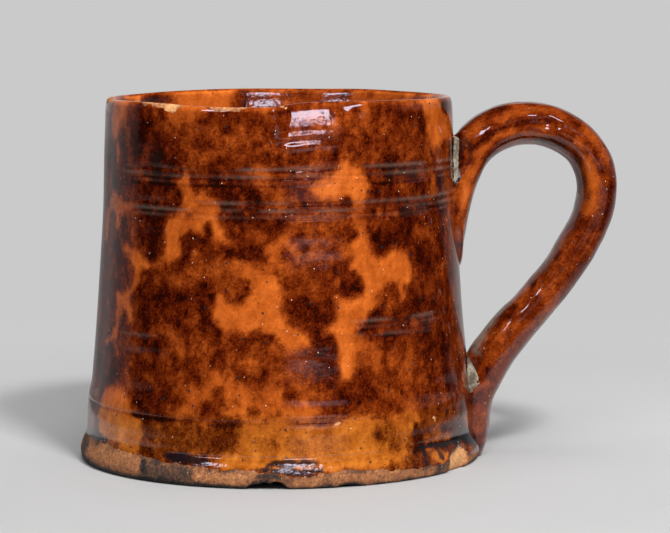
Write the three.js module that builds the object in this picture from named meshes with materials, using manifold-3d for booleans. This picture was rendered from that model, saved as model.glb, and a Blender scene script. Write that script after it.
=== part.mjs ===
// A thrown redware mug with a pulled strap handle that was broken off and stuck back on.
// Millimetres, +Z up. The origin is the centre of the underside, and the handle stands out along +X.
import * as THREE from "three";
import { mergeVertices } from "three/addons/utils/BufferGeometryUtils.js";
import Module from "manifold-3d";

// Wall: straight under the lip, then flaring to the foot
const MUG_HEIGHT = 110;
const RIM_RADIUS = 52.9;
const FLARE = 7.6; // how much wider the wall's line is at the table than under the lip
const FLARE_POWER = 1.6;
const LIP_HEIGHT = 4;
const LIP_THICKNESS = 3.7;
const WALL_THICKNESS = 5.6; // where the wall meets the floor
const FLOOR_THICKNESS = 7;
const CORNER_RADIUS = 9; // inside, where the wall turns into the floor

// Foot: a turned ring that stands proud of the wall
const FOOT_PROJECTION = 1.4;
const FOOT_HEIGHT = 9;
const FOOT_BULGE_HEIGHT = 4.3;
const FOOT_UNDERCUT = 1.1; // how far the edge on the table lies inside the bulge

// Turned lines round the outside: two pairs under the rim, one pair lower down and one over the foot
const LINE_WIDTH = 1.4;
const LINE_DEPTH = 0.45;
const LINE_SPACING = 2.8;
const FIRST_PAIR_DROP = 17.5; // from the rim down to the pair's upper line
const SECOND_PAIR_DROP = 27.5;
const LOWER_PAIR_HEIGHT = 47;
const FOOT_LINE_HEIGHT = 18.5;

// Chips: degrees from the handle, height of the middle, then width, height and depth into the clay
const TABLE_CHIP = { angle: -94.6, z: 0, width: 13.4, height: 3.8, depth: 2.6 };
const FOOT_CHIP = { angle: -31.5, z: 4.3, width: 17, height: 7, depth: 1.2 };
const RIM_CHIP = { angle: -126.5, z: MUG_HEIGHT, width: 9, height: 5, depth: 0.8 };

// Handle: a tail down the wall, a round bow, a straight limb and a root on the foot
const STRAP_WIDTH = 23; // at the tail
const STRAP_THICKNESS = 13;
const STRAP_TAPER = 0.1; // share of width and thickness lost on the way to the root
const STRAP_SQUARENESS = 2.5; // exponent of the section's rounded outline
const FLUTE_DEPTH = 0.9; // the crease along each edge of the strap
const FLUTE_WIDTH = 1.5;
const BOW_DROP = 7.6; // from the rim down to the middle of the strap at the top of the bow
const BOW_RADIUS = 21.4; // to the middle of the strap
const BOW_STANDOFF = 21.5; // from the wall out to the bow's centre
const TAIL_DROP = 51.5; // from the rim down to where the tail fades into the wall
const TAIL_CLEARANCE = 1; // from there down to where the opening is free of the tail
const LIMB_END_HEIGHT = 32;
const LIMB_END_STANDOFF = 8.2;
const ROOT_HEIGHT = 13; // where the root starts to run down the wall
const ROOT_SINK = 0.9; // how far the middle of the strap lies inside the wall there
const ROOT_LEAN = 0.2; // inwards per millimetre down

// Joints: the pad's seam, the break across the lower end, and the putty at both
const SEAM_DROP = 25.2; // from the rim down to the pad's seam at the wall
const SEAM_RISE = 7.2; // up to the seam's corner, from where it runs level to the opening
const SEAM_RUN = 5.4; // from the wall out to that corner
const BREAK_HEIGHT = 24;
const BREAK_SLOPE = 0.13;
const UPPER_PUTTY_THICKNESS = 1.2;
const WEDGE_RISE = 7.2; // from the break up to the top of the lower putty at the wall
const WEDGE_FALL = 3.6;
const WEDGE_REACH = 4; // from the wall out to the wedge's edge

const JOINT_GAP = 0.3; // left between touching pieces
const BODY_SIDES = 64;
const STRAP_SIDES = 24;
const STRAP_STEPS = 48;
const CUT_REACH = 200; // how far the cutting blocks run past the pieces

const wasm = await Module();
wasm.setup();

const wallTop = MUG_HEIGHT - LIP_HEIGHT;
const point = (x, y) => new THREE.Vector2(x, y);

// Outside radius of the wall's line at a height
function wallRadius(z) {
  return RIM_RADIUS + FLARE * Math.max(0, 1 - z / wallTop) ** FLARE_POWER;
}

// Inside radius at a height: the wall grows thicker on its way down
function innerRadius(z) {
  const down = (wallTop - z) / (wallTop - FLOOR_THICKNESS);
  return wallRadius(z) - LIP_THICKNESS - (WALL_THICKNESS - LIP_THICKNESS) * down;
}

const footRadius = wallRadius(FOOT_BULGE_HEIGHT) + FOOT_PROJECTION;

const lineHeights = [
  FOOT_LINE_HEIGHT,
  LOWER_PAIR_HEIGHT - LINE_SPACING,
  LOWER_PAIR_HEIGHT,
  MUG_HEIGHT - SECOND_PAIR_DROP - LINE_SPACING,
  MUG_HEIGHT - SECOND_PAIR_DROP,
  MUG_HEIGHT - FIRST_PAIR_DROP - LINE_SPACING,
  MUG_HEIGHT - FIRST_PAIR_DROP,
];

// The outside from the table up to the lip, moved outwards by an offset, with turned lines of a depth
function outsideProfile(offset, lineDepth) {
  const foot = new THREE.SplineCurve([
    point(footRadius - FOOT_UNDERCUT, 0),
    point(footRadius, FOOT_BULGE_HEIGHT),
    point(wallRadius(FOOT_HEIGHT), FOOT_HEIGHT),
  ]);
  const points = foot.getPoints(6);
  for (let i = 1; i <= 10; i++) {
    const z = FOOT_HEIGHT + ((wallTop - FOOT_HEIGHT) * i) / 10;
    if (lineHeights.every((line) => Math.abs(z - line) > LINE_WIDTH)) points.push(point(wallRadius(z), z));
  }
  for (const z of lineHeights) {
    points.push(point(wallRadius(z - LINE_WIDTH / 2), z - LINE_WIDTH / 2));
    points.push(point(wallRadius(z) - lineDepth, z));
    points.push(point(wallRadius(z + LINE_WIDTH / 2), z + LINE_WIDTH / 2));
  }
  points.sort((a, b) => a.y - b.y);
  return points.map((p) => point(p.x + offset, p.y));
}

// A closed geometry as a solid that can be cut and joined
function solid(geometry) {
  geometry.deleteAttribute("normal");
  geometry.deleteAttribute("uv");
  const merged = mergeVertices(geometry, 1e-4);
  const vertProperties = merged.attributes.position.array;
  const triVerts = new Uint32Array(merged.index.array);
  return new wasm.Manifold(new wasm.Mesh({ numProp: 3, vertProperties, triVerts }));
}

// A profile from axis to axis, turned about the Z axis
function turned(profile) {
  return solid(new THREE.LatheGeometry(profile, BODY_SIDES).rotateX(Math.PI / 2));
}

// A prism from an outline in X and Z, right across the handle
function acrossHandle(outline) {
  const depth = 2 * STRAP_WIDTH;
  const geometry = new THREE.ExtrudeGeometry(new THREE.Shape(outline), { depth, bevelEnabled: false });
  return solid(geometry.translate(0, 0, -depth / 2).rotateX(Math.PI / 2));
}

// The space inside the outside of the body, grown by a gap, with no hollow
function bodySpace(gap) {
  const profile = outsideProfile(gap, 0);
  return turned([
    point(0, -CUT_REACH),
    point(profile[0].x, -CUT_REACH),
    ...profile,
    point(RIM_RADIUS + gap, CUT_REACH),
    point(0, CUT_REACH),
  ]);
}

// One chip: an egg shape sunk into the outside by the chip's depth
function chipTool({ angle, z, width, height, depth }) {
  const thick = width / 3;
  const surface = z < FOOT_HEIGHT ? footRadius : wallRadius(z);
  const egg = new THREE.SphereGeometry(1, 16, 10);
  egg.scale(thick, width / 2, height / 2);
  egg.translate(surface + thick - depth, 0, z);
  return solid(egg.rotateZ(THREE.MathUtils.degToRad(angle)));
}

// Body: wall, floor and foot thrown in one
function throwBody() {
  const outside = outsideProfile(0, LINE_DEPTH);
  const innerRim = RIM_RADIUS - LIP_THICKNESS;
  const shoulder = LIP_THICKNESS / 10;
  const lip = new THREE.SplineCurve([
    outside.at(-1),
    point(RIM_RADIUS - shoulder, MUG_HEIGHT - LIP_HEIGHT / 3),
    point(RIM_RADIUS - LIP_THICKNESS / 2, MUG_HEIGHT),
    point(innerRim + shoulder, MUG_HEIGHT - LIP_HEIGHT / 3),
    point(innerRim, wallTop),
  ]);
  const cornerTop = FLOOR_THICKNESS + CORNER_RADIUS;
  const inside = [];
  for (let i = 1; i <= 6; i++) {
    const z = wallTop + ((cornerTop - wallTop) * i) / 6;
    inside.push(point(innerRadius(z), z));
  }
  const cornerX = innerRadius(cornerTop) - CORNER_RADIUS;
  const corner = new THREE.Path().absarc(cornerX, cornerTop, CORNER_RADIUS, 0, -Math.PI / 2, true);
  const body = turned([
    point(0, 0),
    ...outside,
    ...lip.getPoints(8).slice(1),
    ...inside,
    ...corner.getPoints(5).slice(1),
    point(0, FLOOR_THICKNESS),
  ]);
  return [TABLE_CHIP, FOOT_CHIP, RIM_CHIP].reduce((left, chip) => left.subtract(chipTool(chip)), body);
}

const bowHeight = MUG_HEIGHT - BOW_DROP - BOW_RADIUS;
const bowCentre = point(wallRadius(bowHeight) + BOW_STANDOFF, bowHeight);
const tailHeight = MUG_HEIGHT - TAIL_DROP;

// A point of the bow's middle line in X and Z at an angle from +X
function onBow(angle) {
  return point(BOW_RADIUS, 0).rotateAround(point(0, 0), angle).add(bowCentre);
}

// The middle line of the handle in X and Z, from inside the wall at the tail to below the table
function handleLine() {
  // The tail's inner face runs straight from the bow to where it fades into the wall
  const openingRadius = BOW_RADIUS - STRAP_THICKNESS / 2;
  const toTail = point(wallRadius(tailHeight), tailHeight).sub(bowCentre);
  const tailTurn = toTail.angle() - Math.acos(openingRadius / toTail.length());
  const tailStart = onBow(tailTurn);
  const tailLength = Math.sqrt(toTail.lengthSq() - openingRadius ** 2) + STRAP_THICKNESS / 2;
  const tail = point(-Math.sin(tailTurn), Math.cos(tailTurn)).multiplyScalar(tailLength);
  const limbEnd = point(wallRadius(LIMB_END_HEIGHT) + LIMB_END_STANDOFF, LIMB_END_HEIGHT);
  const toLimb = limbEnd.clone().sub(bowCentre);
  const limbTurn = toLimb.angle() - 2 * Math.PI + Math.acos(BOW_RADIUS / toLimb.length());
  const limb = limbEnd.clone().sub(onBow(limbTurn)).normalize();
  const root = point(wallRadius(ROOT_HEIGHT) - ROOT_SINK, ROOT_HEIGHT);
  // The limb's line meets the root's line at the bend
  const offLine = limbEnd.x - root.x - ROOT_LEAN * (limbEnd.y - root.y);
  const bend = limbEnd.clone().addScaledVector(limb, offLine / (ROOT_LEAN * limb.y - limb.x));
  const belowTable = point(root.x - ROOT_LEAN * (root.y + STRAP_THICKNESS), -STRAP_THICKNESS);
  const line = new THREE.Path([tailStart.clone().add(tail), tailStart]);
  line.absarc(bowCentre.x, bowCentre.y, BOW_RADIUS, tailTurn, limbTurn, true);
  line.lineTo(limbEnd.x, limbEnd.y);
  line.quadraticCurveTo(bend.x, bend.y, root.x, root.y);
  line.lineTo(belowTable.x, belowTable.y);
  return line;
}

// Section of the strap: x across its width, y towards its outer face, with a crease along each edge
function strapSection() {
  const points = [];
  const rounded = (value) => Math.sign(value) * Math.abs(value) ** (2 / STRAP_SQUARENESS);
  for (let i = 0; i < STRAP_SIDES; i++) {
    const angle = (2 * Math.PI * i) / STRAP_SIDES;
    const y = (rounded(Math.sin(angle)) * STRAP_THICKNESS) / 2;
    const crease = FLUTE_DEPTH * Math.exp(-((y / FLUTE_WIDTH) ** 2));
    points.push(point(rounded(Math.cos(angle)) * (STRAP_WIDTH / 2 - crease), y));
  }
  return new THREE.Shape(points);
}

// The whole handle in one length: pulled straight with a taper, then bent along its line
function pullHandle() {
  const line = handleLine();
  const options = { steps: STRAP_STEPS, depth: 1, bevelEnabled: false };
  const strap = new THREE.ExtrudeGeometry(strapSection(), options);
  const place = strap.attributes.position;
  for (let i = 0; i < place.count; i++) {
    const along = place.getZ(i);
    const size = 1 - STRAP_TAPER * along;
    const middle = line.getPointAt(along);
    const forward = line.getTangentAt(along);
    const outward = point(-forward.y, forward.x).multiplyScalar(place.getY(i) * size);
    place.setXYZ(i, middle.x + outward.x, place.getX(i) * size, middle.y + outward.y);
  }
  return solid(strap);
}

const breakEdge = wallRadius(BREAK_HEIGHT) + WEDGE_REACH;
// A place in the handle's opening, just under the tail's end and clear of the limb
const opening = point(bowCentre.x - BOW_RADIUS * 0.4, tailHeight - TAIL_CLEARANCE);

// The pad's seam in X and Z from the axis to the opening, moved up and towards the wall by a shift
function seamLine(shift) {
  const low = MUG_HEIGHT - SEAM_DROP + shift;
  const wall = wallRadius(low) - shift;
  const high = low + SEAM_RISE;
  return [point(0, low), point(wall, low), point(wall + SEAM_RUN, high), point(opening.x, high)];
}

// A point on the break, moved up by a lift
const onBreak = (x, lift) => point(x, BREAK_HEIGHT + BREAK_SLOPE * (x - breakEdge) + lift);

// Where the strap lies: over the seam, outside the pad, and over the break
function strapZone() {
  return acrossHandle([
    point(0, CUT_REACH),
    ...seamLine(JOINT_GAP / 2),
    opening,
    point(0, opening.y),
    onBreak(0, JOINT_GAP / 2),
    onBreak(CUT_REACH, JOINT_GAP / 2),
    point(CUT_REACH, CUT_REACH),
  ]);
}

// Where the pad lies: under the seam, between the wall and the opening
function padZone() {
  return acrossHandle([point(0, opening.y), opening, ...seamLine(-JOINT_GAP / 2).reverse()]);
}

// Where the root lies: under the break and just clear of the table
function rootZone() {
  return acrossHandle([
    onBreak(0, -JOINT_GAP / 2),
    onBreak(CUT_REACH, -JOINT_GAP / 2),
    point(CUT_REACH, JOINT_GAP),
    point(0, JOINT_GAP),
  ]);
}

// The upper end of the strap, on the wall's side of the opening
function upperZone() {
  return acrossHandle([
    point(0, opening.y),
    opening,
    point(opening.x, CUT_REACH),
    point(0, CUT_REACH),
  ]);
}

// The wedge of putty at the break, grown by a margin
function wedgeZone(margin) {
  const inside = WEDGE_REACH + STRAP_THICKNESS;
  const share = inside / WEDGE_REACH;
  return acrossHandle([
    point(breakEdge + margin, BREAK_HEIGHT),
    point(breakEdge - inside, BREAK_HEIGHT + WEDGE_RISE * share + 2 * margin),
    point(breakEdge - inside, BREAK_HEIGHT - WEDGE_FALL * share - 2 * margin),
  ]);
}

const pulled = pullHandle();
const fitted = pulled.subtract(bodySpace(JOINT_GAP));

// Strap: from the putty at the wall round the bow and down to the break
function cutStrap() {
  const puttySpace = bodySpace(2 * JOINT_GAP + UPPER_PUTTY_THICKNESS).intersect(upperZone());
  return fitted.intersect(strapZone()).subtract(puttySpace).subtract(wedgeZone(JOINT_GAP));
}

// Pad: the clay under the strap's end, drawn down the wall
function cutPad() {
  return fitted.intersect(padZone());
}

// Root: the stump of the strap on the wall and the foot
function cutRoot() {
  return fitted.intersect(rootZone()).subtract(wedgeZone(JOINT_GAP));
}

// Putty between the strap's end and the wall
function fillUpperJoint() {
  const layer = bodySpace(JOINT_GAP + UPPER_PUTTY_THICKNESS);
  return fitted.intersect(strapZone()).intersect(upperZone()).intersect(layer);
}

// Putty in the notch where the break meets the wall
function fillLowerJoint() {
  return fitted.intersect(wedgeZone(0));
}

// A solid as a named mesh with its material
function piece(name, body, material) {
  const { vertProperties, triVerts } = body.getMesh();
  const geometry = new THREE.BufferGeometry();
  geometry.setAttribute("position", new THREE.BufferAttribute(vertProperties, 3));
  geometry.setIndex(new THREE.BufferAttribute(triVerts, 1));
  geometry.computeVertexNormals();
  const mesh = new THREE.Mesh(geometry, material);
  mesh.name = name;
  return mesh;
}

const glazed = (color) => new THREE.MeshStandardMaterial({ color, roughness: 0.12, metalness: 0 });
const putty = new THREE.MeshStandardMaterial({ color: 0xb9b2a2, roughness: 0.9, metalness: 0 });

const mug = new THREE.Group();
mug.add(
  piece("thrown_body", throwBody(), glazed(0x7a3408)),
  piece("handle_strap", cutStrap(), glazed(0x8a3a0a)),
  piece("upper_terminal_tail", cutPad(), glazed(0xb8560f)),
  piece("lower_terminal", cutRoot(), glazed(0x6e2f0c)),
  piece("upper_joint_filler", fillUpperJoint(), putty),
  piece("lower_joint_filler", fillLowerJoint(), putty),
);

export default mug;
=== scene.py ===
import math

import bmesh
import bpy
import numpy as np
from mathutils import Matrix, Vector


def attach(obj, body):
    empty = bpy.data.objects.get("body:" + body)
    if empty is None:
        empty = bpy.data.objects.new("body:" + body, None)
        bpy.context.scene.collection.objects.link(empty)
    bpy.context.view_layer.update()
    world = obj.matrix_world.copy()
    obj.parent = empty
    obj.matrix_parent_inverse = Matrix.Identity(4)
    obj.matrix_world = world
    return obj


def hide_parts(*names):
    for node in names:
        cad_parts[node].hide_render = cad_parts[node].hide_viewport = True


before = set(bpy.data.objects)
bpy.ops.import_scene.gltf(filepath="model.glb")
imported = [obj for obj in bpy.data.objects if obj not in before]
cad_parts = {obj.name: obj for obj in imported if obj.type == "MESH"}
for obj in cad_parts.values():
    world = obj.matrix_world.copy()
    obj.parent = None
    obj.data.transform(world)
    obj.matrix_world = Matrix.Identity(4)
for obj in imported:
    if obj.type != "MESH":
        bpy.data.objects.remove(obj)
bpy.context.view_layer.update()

# A thrown redware mug with a pulled strap handle, on a pale floor in soft studio light.
# The clay is shaped in millimetres, angles are degrees from the handle, and a finished mesh is in metres.
MM = 0.001
BODY = "root"

# Camera in front of the mug's axis, turned slightly right and down: places in metres, lens in millimetres
CAMERA_DISTANCE = 0.85
CAMERA_HEIGHT = 0.1486
CAMERA_PITCH = math.radians(6.094)
CAMERA_YAW = math.radians(1.138)
CAMERA_ROLL = math.radians(-0.162)
CAMERA_LENS = 149.94
SENSOR_WIDTH = 36

# Cells along each side of the block of noise, which repeats
LATTICE = 32


def curve_through(knots, at):
    """Smooth values at places between knots of (place, value)."""
    place = np.array([k[0] for k in knots], float)
    value = np.array([k[1] for k in knots], float)
    slope = np.gradient(value, place)
    at = np.clip(at, place[0], place[-1])
    i = np.clip(np.searchsorted(place, at) - 1, 0, len(place) - 2)
    span = place[i + 1] - place[i]
    t = (at - place[i]) / span
    a = 2 * t**3 - 3 * t**2 + 1
    b = t**3 - 2 * t**2 + t
    c = -2 * t**3 + 3 * t**2
    d = t**3 - t**2
    return a * value[i] + b * span * slope[i] + c * value[i + 1] + d * span * slope[i + 1]


def soft_step(low, high, value):
    """0 below low and 1 above high, with a smooth rise."""
    t = np.clip((value - low) / (high - low), 0, 1)
    return t * t * (3 - 2 * t)


def within(value, low, full, last, high):
    """1 from full to last, fading out at low and at high."""
    return soft_step(low, full, value) * (1 - soft_step(last, high, value))


def bulge(value, middle, reach):
    """1 at a middle value, falling off softly on both sides."""
    return np.exp(-(((value - middle) / reach) ** 2))


def clouds(place, size, seed):
    """Soft noise from -1 to 1 with lumps of a size, the same in each run."""
    lattice = np.random.default_rng(seed).uniform(-1, 1, (LATTICE,) * 3)
    spot = place / size
    cell = np.floor(spot).astype(int)
    part = spot - cell
    part = part * part * (3 - 2 * part)
    total = 0
    for corner in range(8):
        step = np.array([corner & 1, corner >> 1 & 1, corner >> 2 & 1])
        index = (cell + step) % LATTICE
        share = np.where(step, part, 1 - part).prod(axis=1)
        total = total + share * lattice[index[:, 0], index[:, 1], index[:, 2]]
    return total


def lumps(place, size, seed, layers=3, share=0.6):
    """Noise with finer and weaker layers, from -1 to 1."""
    total = 0
    weight = 0
    for k in range(layers):
        total = total + share**k * clouds(place, size / 2**k, seed + k)
        weight += share**k
    return total / weight


def place_camera():
    camera = bpy.data.objects.new("camera", bpy.data.cameras.new("camera"))
    camera.data.lens = CAMERA_LENS
    camera.data.sensor_width = SENSOR_WIDTH
    camera.data.clip_start = 0.01
    camera.data.clip_end = 50
    camera.matrix_world = (
        Matrix.Translation((0, -CAMERA_DISTANCE, CAMERA_HEIGHT))
        @ Matrix.Rotation(-CAMERA_YAW, 4, "Z")
        @ Matrix.Rotation(math.pi / 2 - CAMERA_PITCH, 4, "X")
        @ Matrix.Rotation(CAMERA_ROLL, 4, "Z")
    )
    bpy.context.scene.collection.objects.link(camera)
    bpy.context.scene.camera = camera


# Shader maths


class Wire:
    """A socket in a tree of shader nodes. Sums and products of wires add Math nodes."""

    def __init__(self, tree, socket=None):
        self.tree = tree
        self.socket = socket

    def node(self, kind, settings=None, sockets=None, output=0):
        """A new node: its settings first, then the values or wires of its sockets."""
        made = self.tree.nodes.new(kind)
        for name, value in (settings or {}).items():
            if name == "stops":
                for i, (position, color) in enumerate((value[0], value[-1], *value[1:-1])):
                    stop = made.color_ramp.elements[i] if i < 2 else made.color_ramp.elements.new(position)
                    stop.position = position
                    stop.color = (*color, 1)
            else:
                setattr(made, name, value)
        for name, value in (sockets or {}).items():
            socket = made.inputs[name]
            if isinstance(value, Wire):
                self.tree.links.new(value.socket, socket)
            else:
                socket.default_value = (*value, 1) if socket.type == "RGBA" else value
        return Wire(self.tree, made.outputs[output] if len(made.outputs) else None)

    def output(self, key):
        """Another output of the same node."""
        return Wire(self.tree, self.socket.node.outputs[key])

    def maths(self, operation, *others):
        """A Math node of this value and others."""
        return self.node("ShaderNodeMath", {"operation": operation}, dict(enumerate((self, *others))))

    def __add__(self, other):
        return self.maths("ADD", other)

    def __sub__(self, other):
        return self.maths("SUBTRACT", other)

    def __rsub__(self, other):
        return self.node("ShaderNodeMath", {"operation": "SUBTRACT"}, {0: other, 1: self})

    def __mul__(self, other):
        return self.maths("MULTIPLY", other)

    def __pow__(self, other):
        return self.maths("POWER", other)

    __radd__ = __add__
    __rmul__ = __mul__

    def most(self, other):
        """The larger of two values."""
        return self.maths("MAXIMUM", other)

    def above(self, low, high):
        """0 where this is under low and 1 where it is over high."""
        return self.node(
            "ShaderNodeMapRange",
            {"interpolation_type": "SMOOTHSTEP"},
            {"Value": self, "From Min": low, "From Max": high},
        )

    def within(self, low, full, last, high):
        """1 from full to last, fading out at low and at high."""
        return self.above(low, full) * (1 - self.above(last, high))

    def facing(self, direction):
        """The dot product of this direction and another."""
        return self.node("ShaderNodeVectorMath", {"operation": "DOT_PRODUCT"}, {0: self, 1: direction}, 1)

    def axes(self):
        """The three coordinates of this place or direction."""
        split = self.node("ShaderNodeSeparateXYZ", None, {0: self})
        return split, split.output(1), split.output(2)

    def ramp(self, stops):
        """The colour of this value on a ramp of (position, colour)."""
        return self.node("ShaderNodeValToRGB", {"stops": stops}, {"Fac": self})

    def blend(self, first, second):
        """The first colour where this is 0 and the second where it is 1."""
        return self.node("ShaderNodeMix", {"data_type": "RGBA"}, {0: self, 6: first, 7: second}, 2)

    def under(self, *layers):
        """This colour under others, each given as how much it covers and its colour."""
        color = self
        for cover, shade in layers:
            color = cover.blend(color, shade)
        return color

    def between(self, first, second):
        """The first shader where this is 0 and the second where it is 1."""
        return self.node("ShaderNodeMixShader", None, {0: self, 1: first, 2: second})


def new_material(name):
    material = bpy.data.materials.new(name)
    material.use_nodes = True
    material.node_tree.nodes.clear()
    return material, Wire(material.node_tree)


def noise(tree, place, scale, detail=2.0, roughness=0.5):
    return tree.node(
        "ShaderNodeTexNoise",
        {"noise_dimensions": "3D"},
        {"Vector": place, "Scale": scale, "Detail": detail, "Roughness": roughness},
    )


def dots(tree, place, scale, radius, share):
    """1 inside scattered round dots: cells per metre, radius in millimetres, share of cells with a dot."""
    cells = tree.node("ShaderNodeTexVoronoi", None, {"Vector": place, "Scale": scale})
    chosen = cells.output("Color").above(1 - share, 1.02 - share)
    reach = radius * MM * scale
    return (1 - cells.above(0.6 * reach, reach)) * chosen


def attribute(tree, name):
    return tree.node("ShaderNodeAttribute", {"attribute_name": name}, output=2)


def bump(tree, height, strength, distance):
    return tree.node("ShaderNodeBump", None, {"Strength": strength, "Distance": distance, "Height": height})


def principled(tree, color, roughness, **sockets):
    sockets = {"Base Color": color, "Roughness": roughness, **sockets}
    return tree.node("ShaderNodeBsdfPrincipled", None, sockets)


def background(tree, color, strength=1):
    return tree.node("ShaderNodeBackground", None, {"Color": color, "Strength": strength})


# Studio


def grey(value):
    return value, value, value


FLOOR_REACH = 8
# The paper in front of the mug, its grain, the paper behind the mug, painted lighter as painted light that
# evens out the lamps' fall-off there, the far floor and the backdrop
FLOOR_SHADE = (0.449, 0.449, 0.447)
GRAIN_SHADE = (0.462, 0.462, 0.46)
REAR_PAINTED_LIGHT = (0.558, 0.558, 0.555)
FAR_SHADE = grey(0.62)
BACKDROP_SHADE = (0.585, 0.59, 0.585)
# Metres behind the axis where the front shade turns into the rear one, and the far one into the backdrop's
REAR_FADE = (-0.12, 0.08)
FAR_FADE = 0.4
# Metres from the axis over which the lit paper ends, and over which the glaze stops mirroring it
PAPER_END = (0.15, 0.3)
MIRRORED_END = (0.12, 0.2)
# The light from all round, the dark over the mirrored room, and the softboxes as the glaze mirrors them
FILL_SHADE = (0.32, 0.32, 0.33)
DARK_STUDIO = (0.002, 0.002, 0.0025)
SOFTBOX_SHADE = (0.84, 0.82, 1.0)
SOFTBOX_LIGHT = 13
SOFTBOX_EDGE = 0.01
# Mirrored softboxes: azimuth to the right of the camera's side, elevation, half width and height as sines
SOFTBOXES = ((13, 41, 0.14, 0.1), (-48, 38, 0.13, 0.09))
# What the glaze mirrors at the left and at the right: how far to the rear, from 0 to 1, and its grey
LEFT_SIDE = (
    (0.24, DARK_STUDIO), (0.26, grey(0.09)), (0.6, grey(0.24)), (0.87, grey(0.4)), (0.97, grey(0.56)),
    (1.0, BACKDROP_SHADE),
)
RIGHT_SIDE = (
    (0.55, DARK_STUDIO), (0.75, grey(0.1)), (0.88, grey(0.3)), (0.96, grey(0.4)), (1.0, BACKDROP_SHADE),
)
# Mirrored things: the table at the left rear, the left front and the right, the screen and the panel
LEFT_TABLE_SHADE = (0.2, 0.18, 0.18)
FRONT_TABLE_SHADE = (0.12, 0.11, 0.11)
RIGHT_TABLE_SHADE = (0.4, 0.38, 0.38)
SCREEN_SHADE = (0.8, 0.78, 0.82)
SCREEN_DIRECTION = (0.375, -0.927, 0)
PANEL_SHADE = (0.16, 0.15, 0.15)
# Lamps: azimuth to the right of the camera's side, elevation, distance, width, height and power
LAMPS = {
    "key_softbox": (23, 46.5, 0.95, 0.15, 0.12, 7.4),
    "side_softbox": (4, 46, 0.95, 0.42, 0.36, 2.8),
    "top_fill": (0, 88, 1.3, 0.9, 0.9, 5.2),
}
LAMP_TARGET = Vector((0, 0, 0.06))


def lay_floor():
    """Pale paper round the mug. Farther out it is a plain grey, which the glaze doesn't mirror."""
    bm = bmesh.new()
    bmesh.ops.create_grid(bm, x_segments=2, y_segments=2, size=FLOOR_REACH)
    floor = bpy.data.objects.new("floor", mesh_of(bm, "floor"))
    bpy.context.scene.collection.objects.link(floor)
    material, tree = new_material("floor_paper")
    place = tree.node("ShaderNodeNewGeometry")
    x, y = place.axes()[:2]
    distance = (x * x + y * y) ** 0.5
    paper = noise(tree, place, 60, 3).blend(FLOOR_SHADE, GRAIN_SHADE)
    # Painted light: behind the mug the paper is made lighter to make up for the lamps' weaker light there
    paper = paper.under((y.above(*REAR_FADE), REAR_PAINTED_LIGHT))
    near = principled(tree, paper, 0.75, **{"Specular IOR Level": 0.3})
    depth = y.ramp(((0.0, FAR_SHADE), (FAR_FADE, BACKDROP_SHADE)))
    far = tree.node("ShaderNodeEmission", None, {"Color": depth})
    open_floor = distance.above(*PAPER_END).between(near, far)
    path = tree.node("ShaderNodeLightPath")
    hidden = distance.above(*MIRRORED_END) * path.output("Is Glossy Ray")
    shown = hidden.between(open_floor, tree.node("ShaderNodeBsdfTransparent"))
    tree.node("ShaderNodeOutputMaterial", None, {"Surface": shown})
    floor.data.materials.append(material)


def strip(direction, axis, half):
    """1 where a direction leaves the middle by less than half along an axis."""
    return 1 - direction.facing(axis).maths("ABSOLUTE").above(half - SOFTBOX_EDGE, half + SOFTBOX_EDGE)


def softbox(direction, azimuth, elevation, half_width, half_height):
    """1 where a direction meets a softbox."""
    turn = math.radians(azimuth)
    rise = math.radians(elevation)
    across = (math.cos(turn), math.sin(turn), 0)
    up = (-math.sin(turn) * math.sin(rise), math.cos(turn) * math.sin(rise), math.cos(rise))
    ahead = direction.facing((math.sin(turn), -math.cos(turn), 0)).above(0, 0.1)
    return strip(direction, across, half_width) * strip(direction, up, half_height) * ahead


def mirrored_room(direction):
    """The room as the glaze mirrors it, without its softboxes."""
    x, y, z = direction.axes()
    right = x.above(-0.02, 0.02)
    left = 1 - right
    low = 1 - z.above(-0.06, -0.02)
    table = right * y.above(-0.2, 0.9) * (1 - z.above(-0.13, -0.045))
    screen = z.within(0.045, 0.07, 0.16, 0.24).most(low * 0.4)
    screen = screen * direction.facing(SCREEN_DIRECTION).above(0.92, 1.0)
    panel = y.within(-0.3, 0.3, 0.62, 0.7) * x.above(0.6, 0.7) * z.above(0.02, 0.045)
    return y.ramp(LEFT_SIDE).under(
        (right, y.ramp(RIGHT_SIDE)),
        (left * low * y.above(0.72, 0.86) * 0.8, LEFT_TABLE_SHADE),
        (left * low * y.within(-0.3, 0.0, 0.22, 0.32), FRONT_TABLE_SHADE),
        (table, RIGHT_TABLE_SHADE),
        (screen, SCREEN_SHADE),
        (panel, PANEL_SHADE),
        (z.above(0.35, 0.5), DARK_STUDIO),
    )


def hang_backdrop():
    """The backdrop that the camera sees, the light from all round, and the room that the glaze mirrors."""
    world = bpy.data.worlds.new("studio")
    bpy.context.scene.world = world
    world.use_nodes = True
    world.node_tree.nodes.clear()
    tree = Wire(world.node_tree)
    direction = tree.node("ShaderNodeTexCoord")
    room = background(tree, mirrored_room(direction))
    boxes = softbox(direction, *SOFTBOXES[0]).most(softbox(direction, *SOFTBOXES[1]))
    mirrored = boxes.between(room, background(tree, SOFTBOX_SHADE, SOFTBOX_LIGHT))
    path = tree.node("ShaderNodeLightPath")
    glossy = path.output("Is Glossy Ray").most(path.output("Is Transmission Ray"))
    around = glossy.between(background(tree, FILL_SHADE), mirrored)
    whole = path.output("Is Camera Ray").between(around, background(tree, BACKDROP_SHADE))
    tree.node("ShaderNodeOutputWorld", None, {"Surface": whole})


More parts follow.
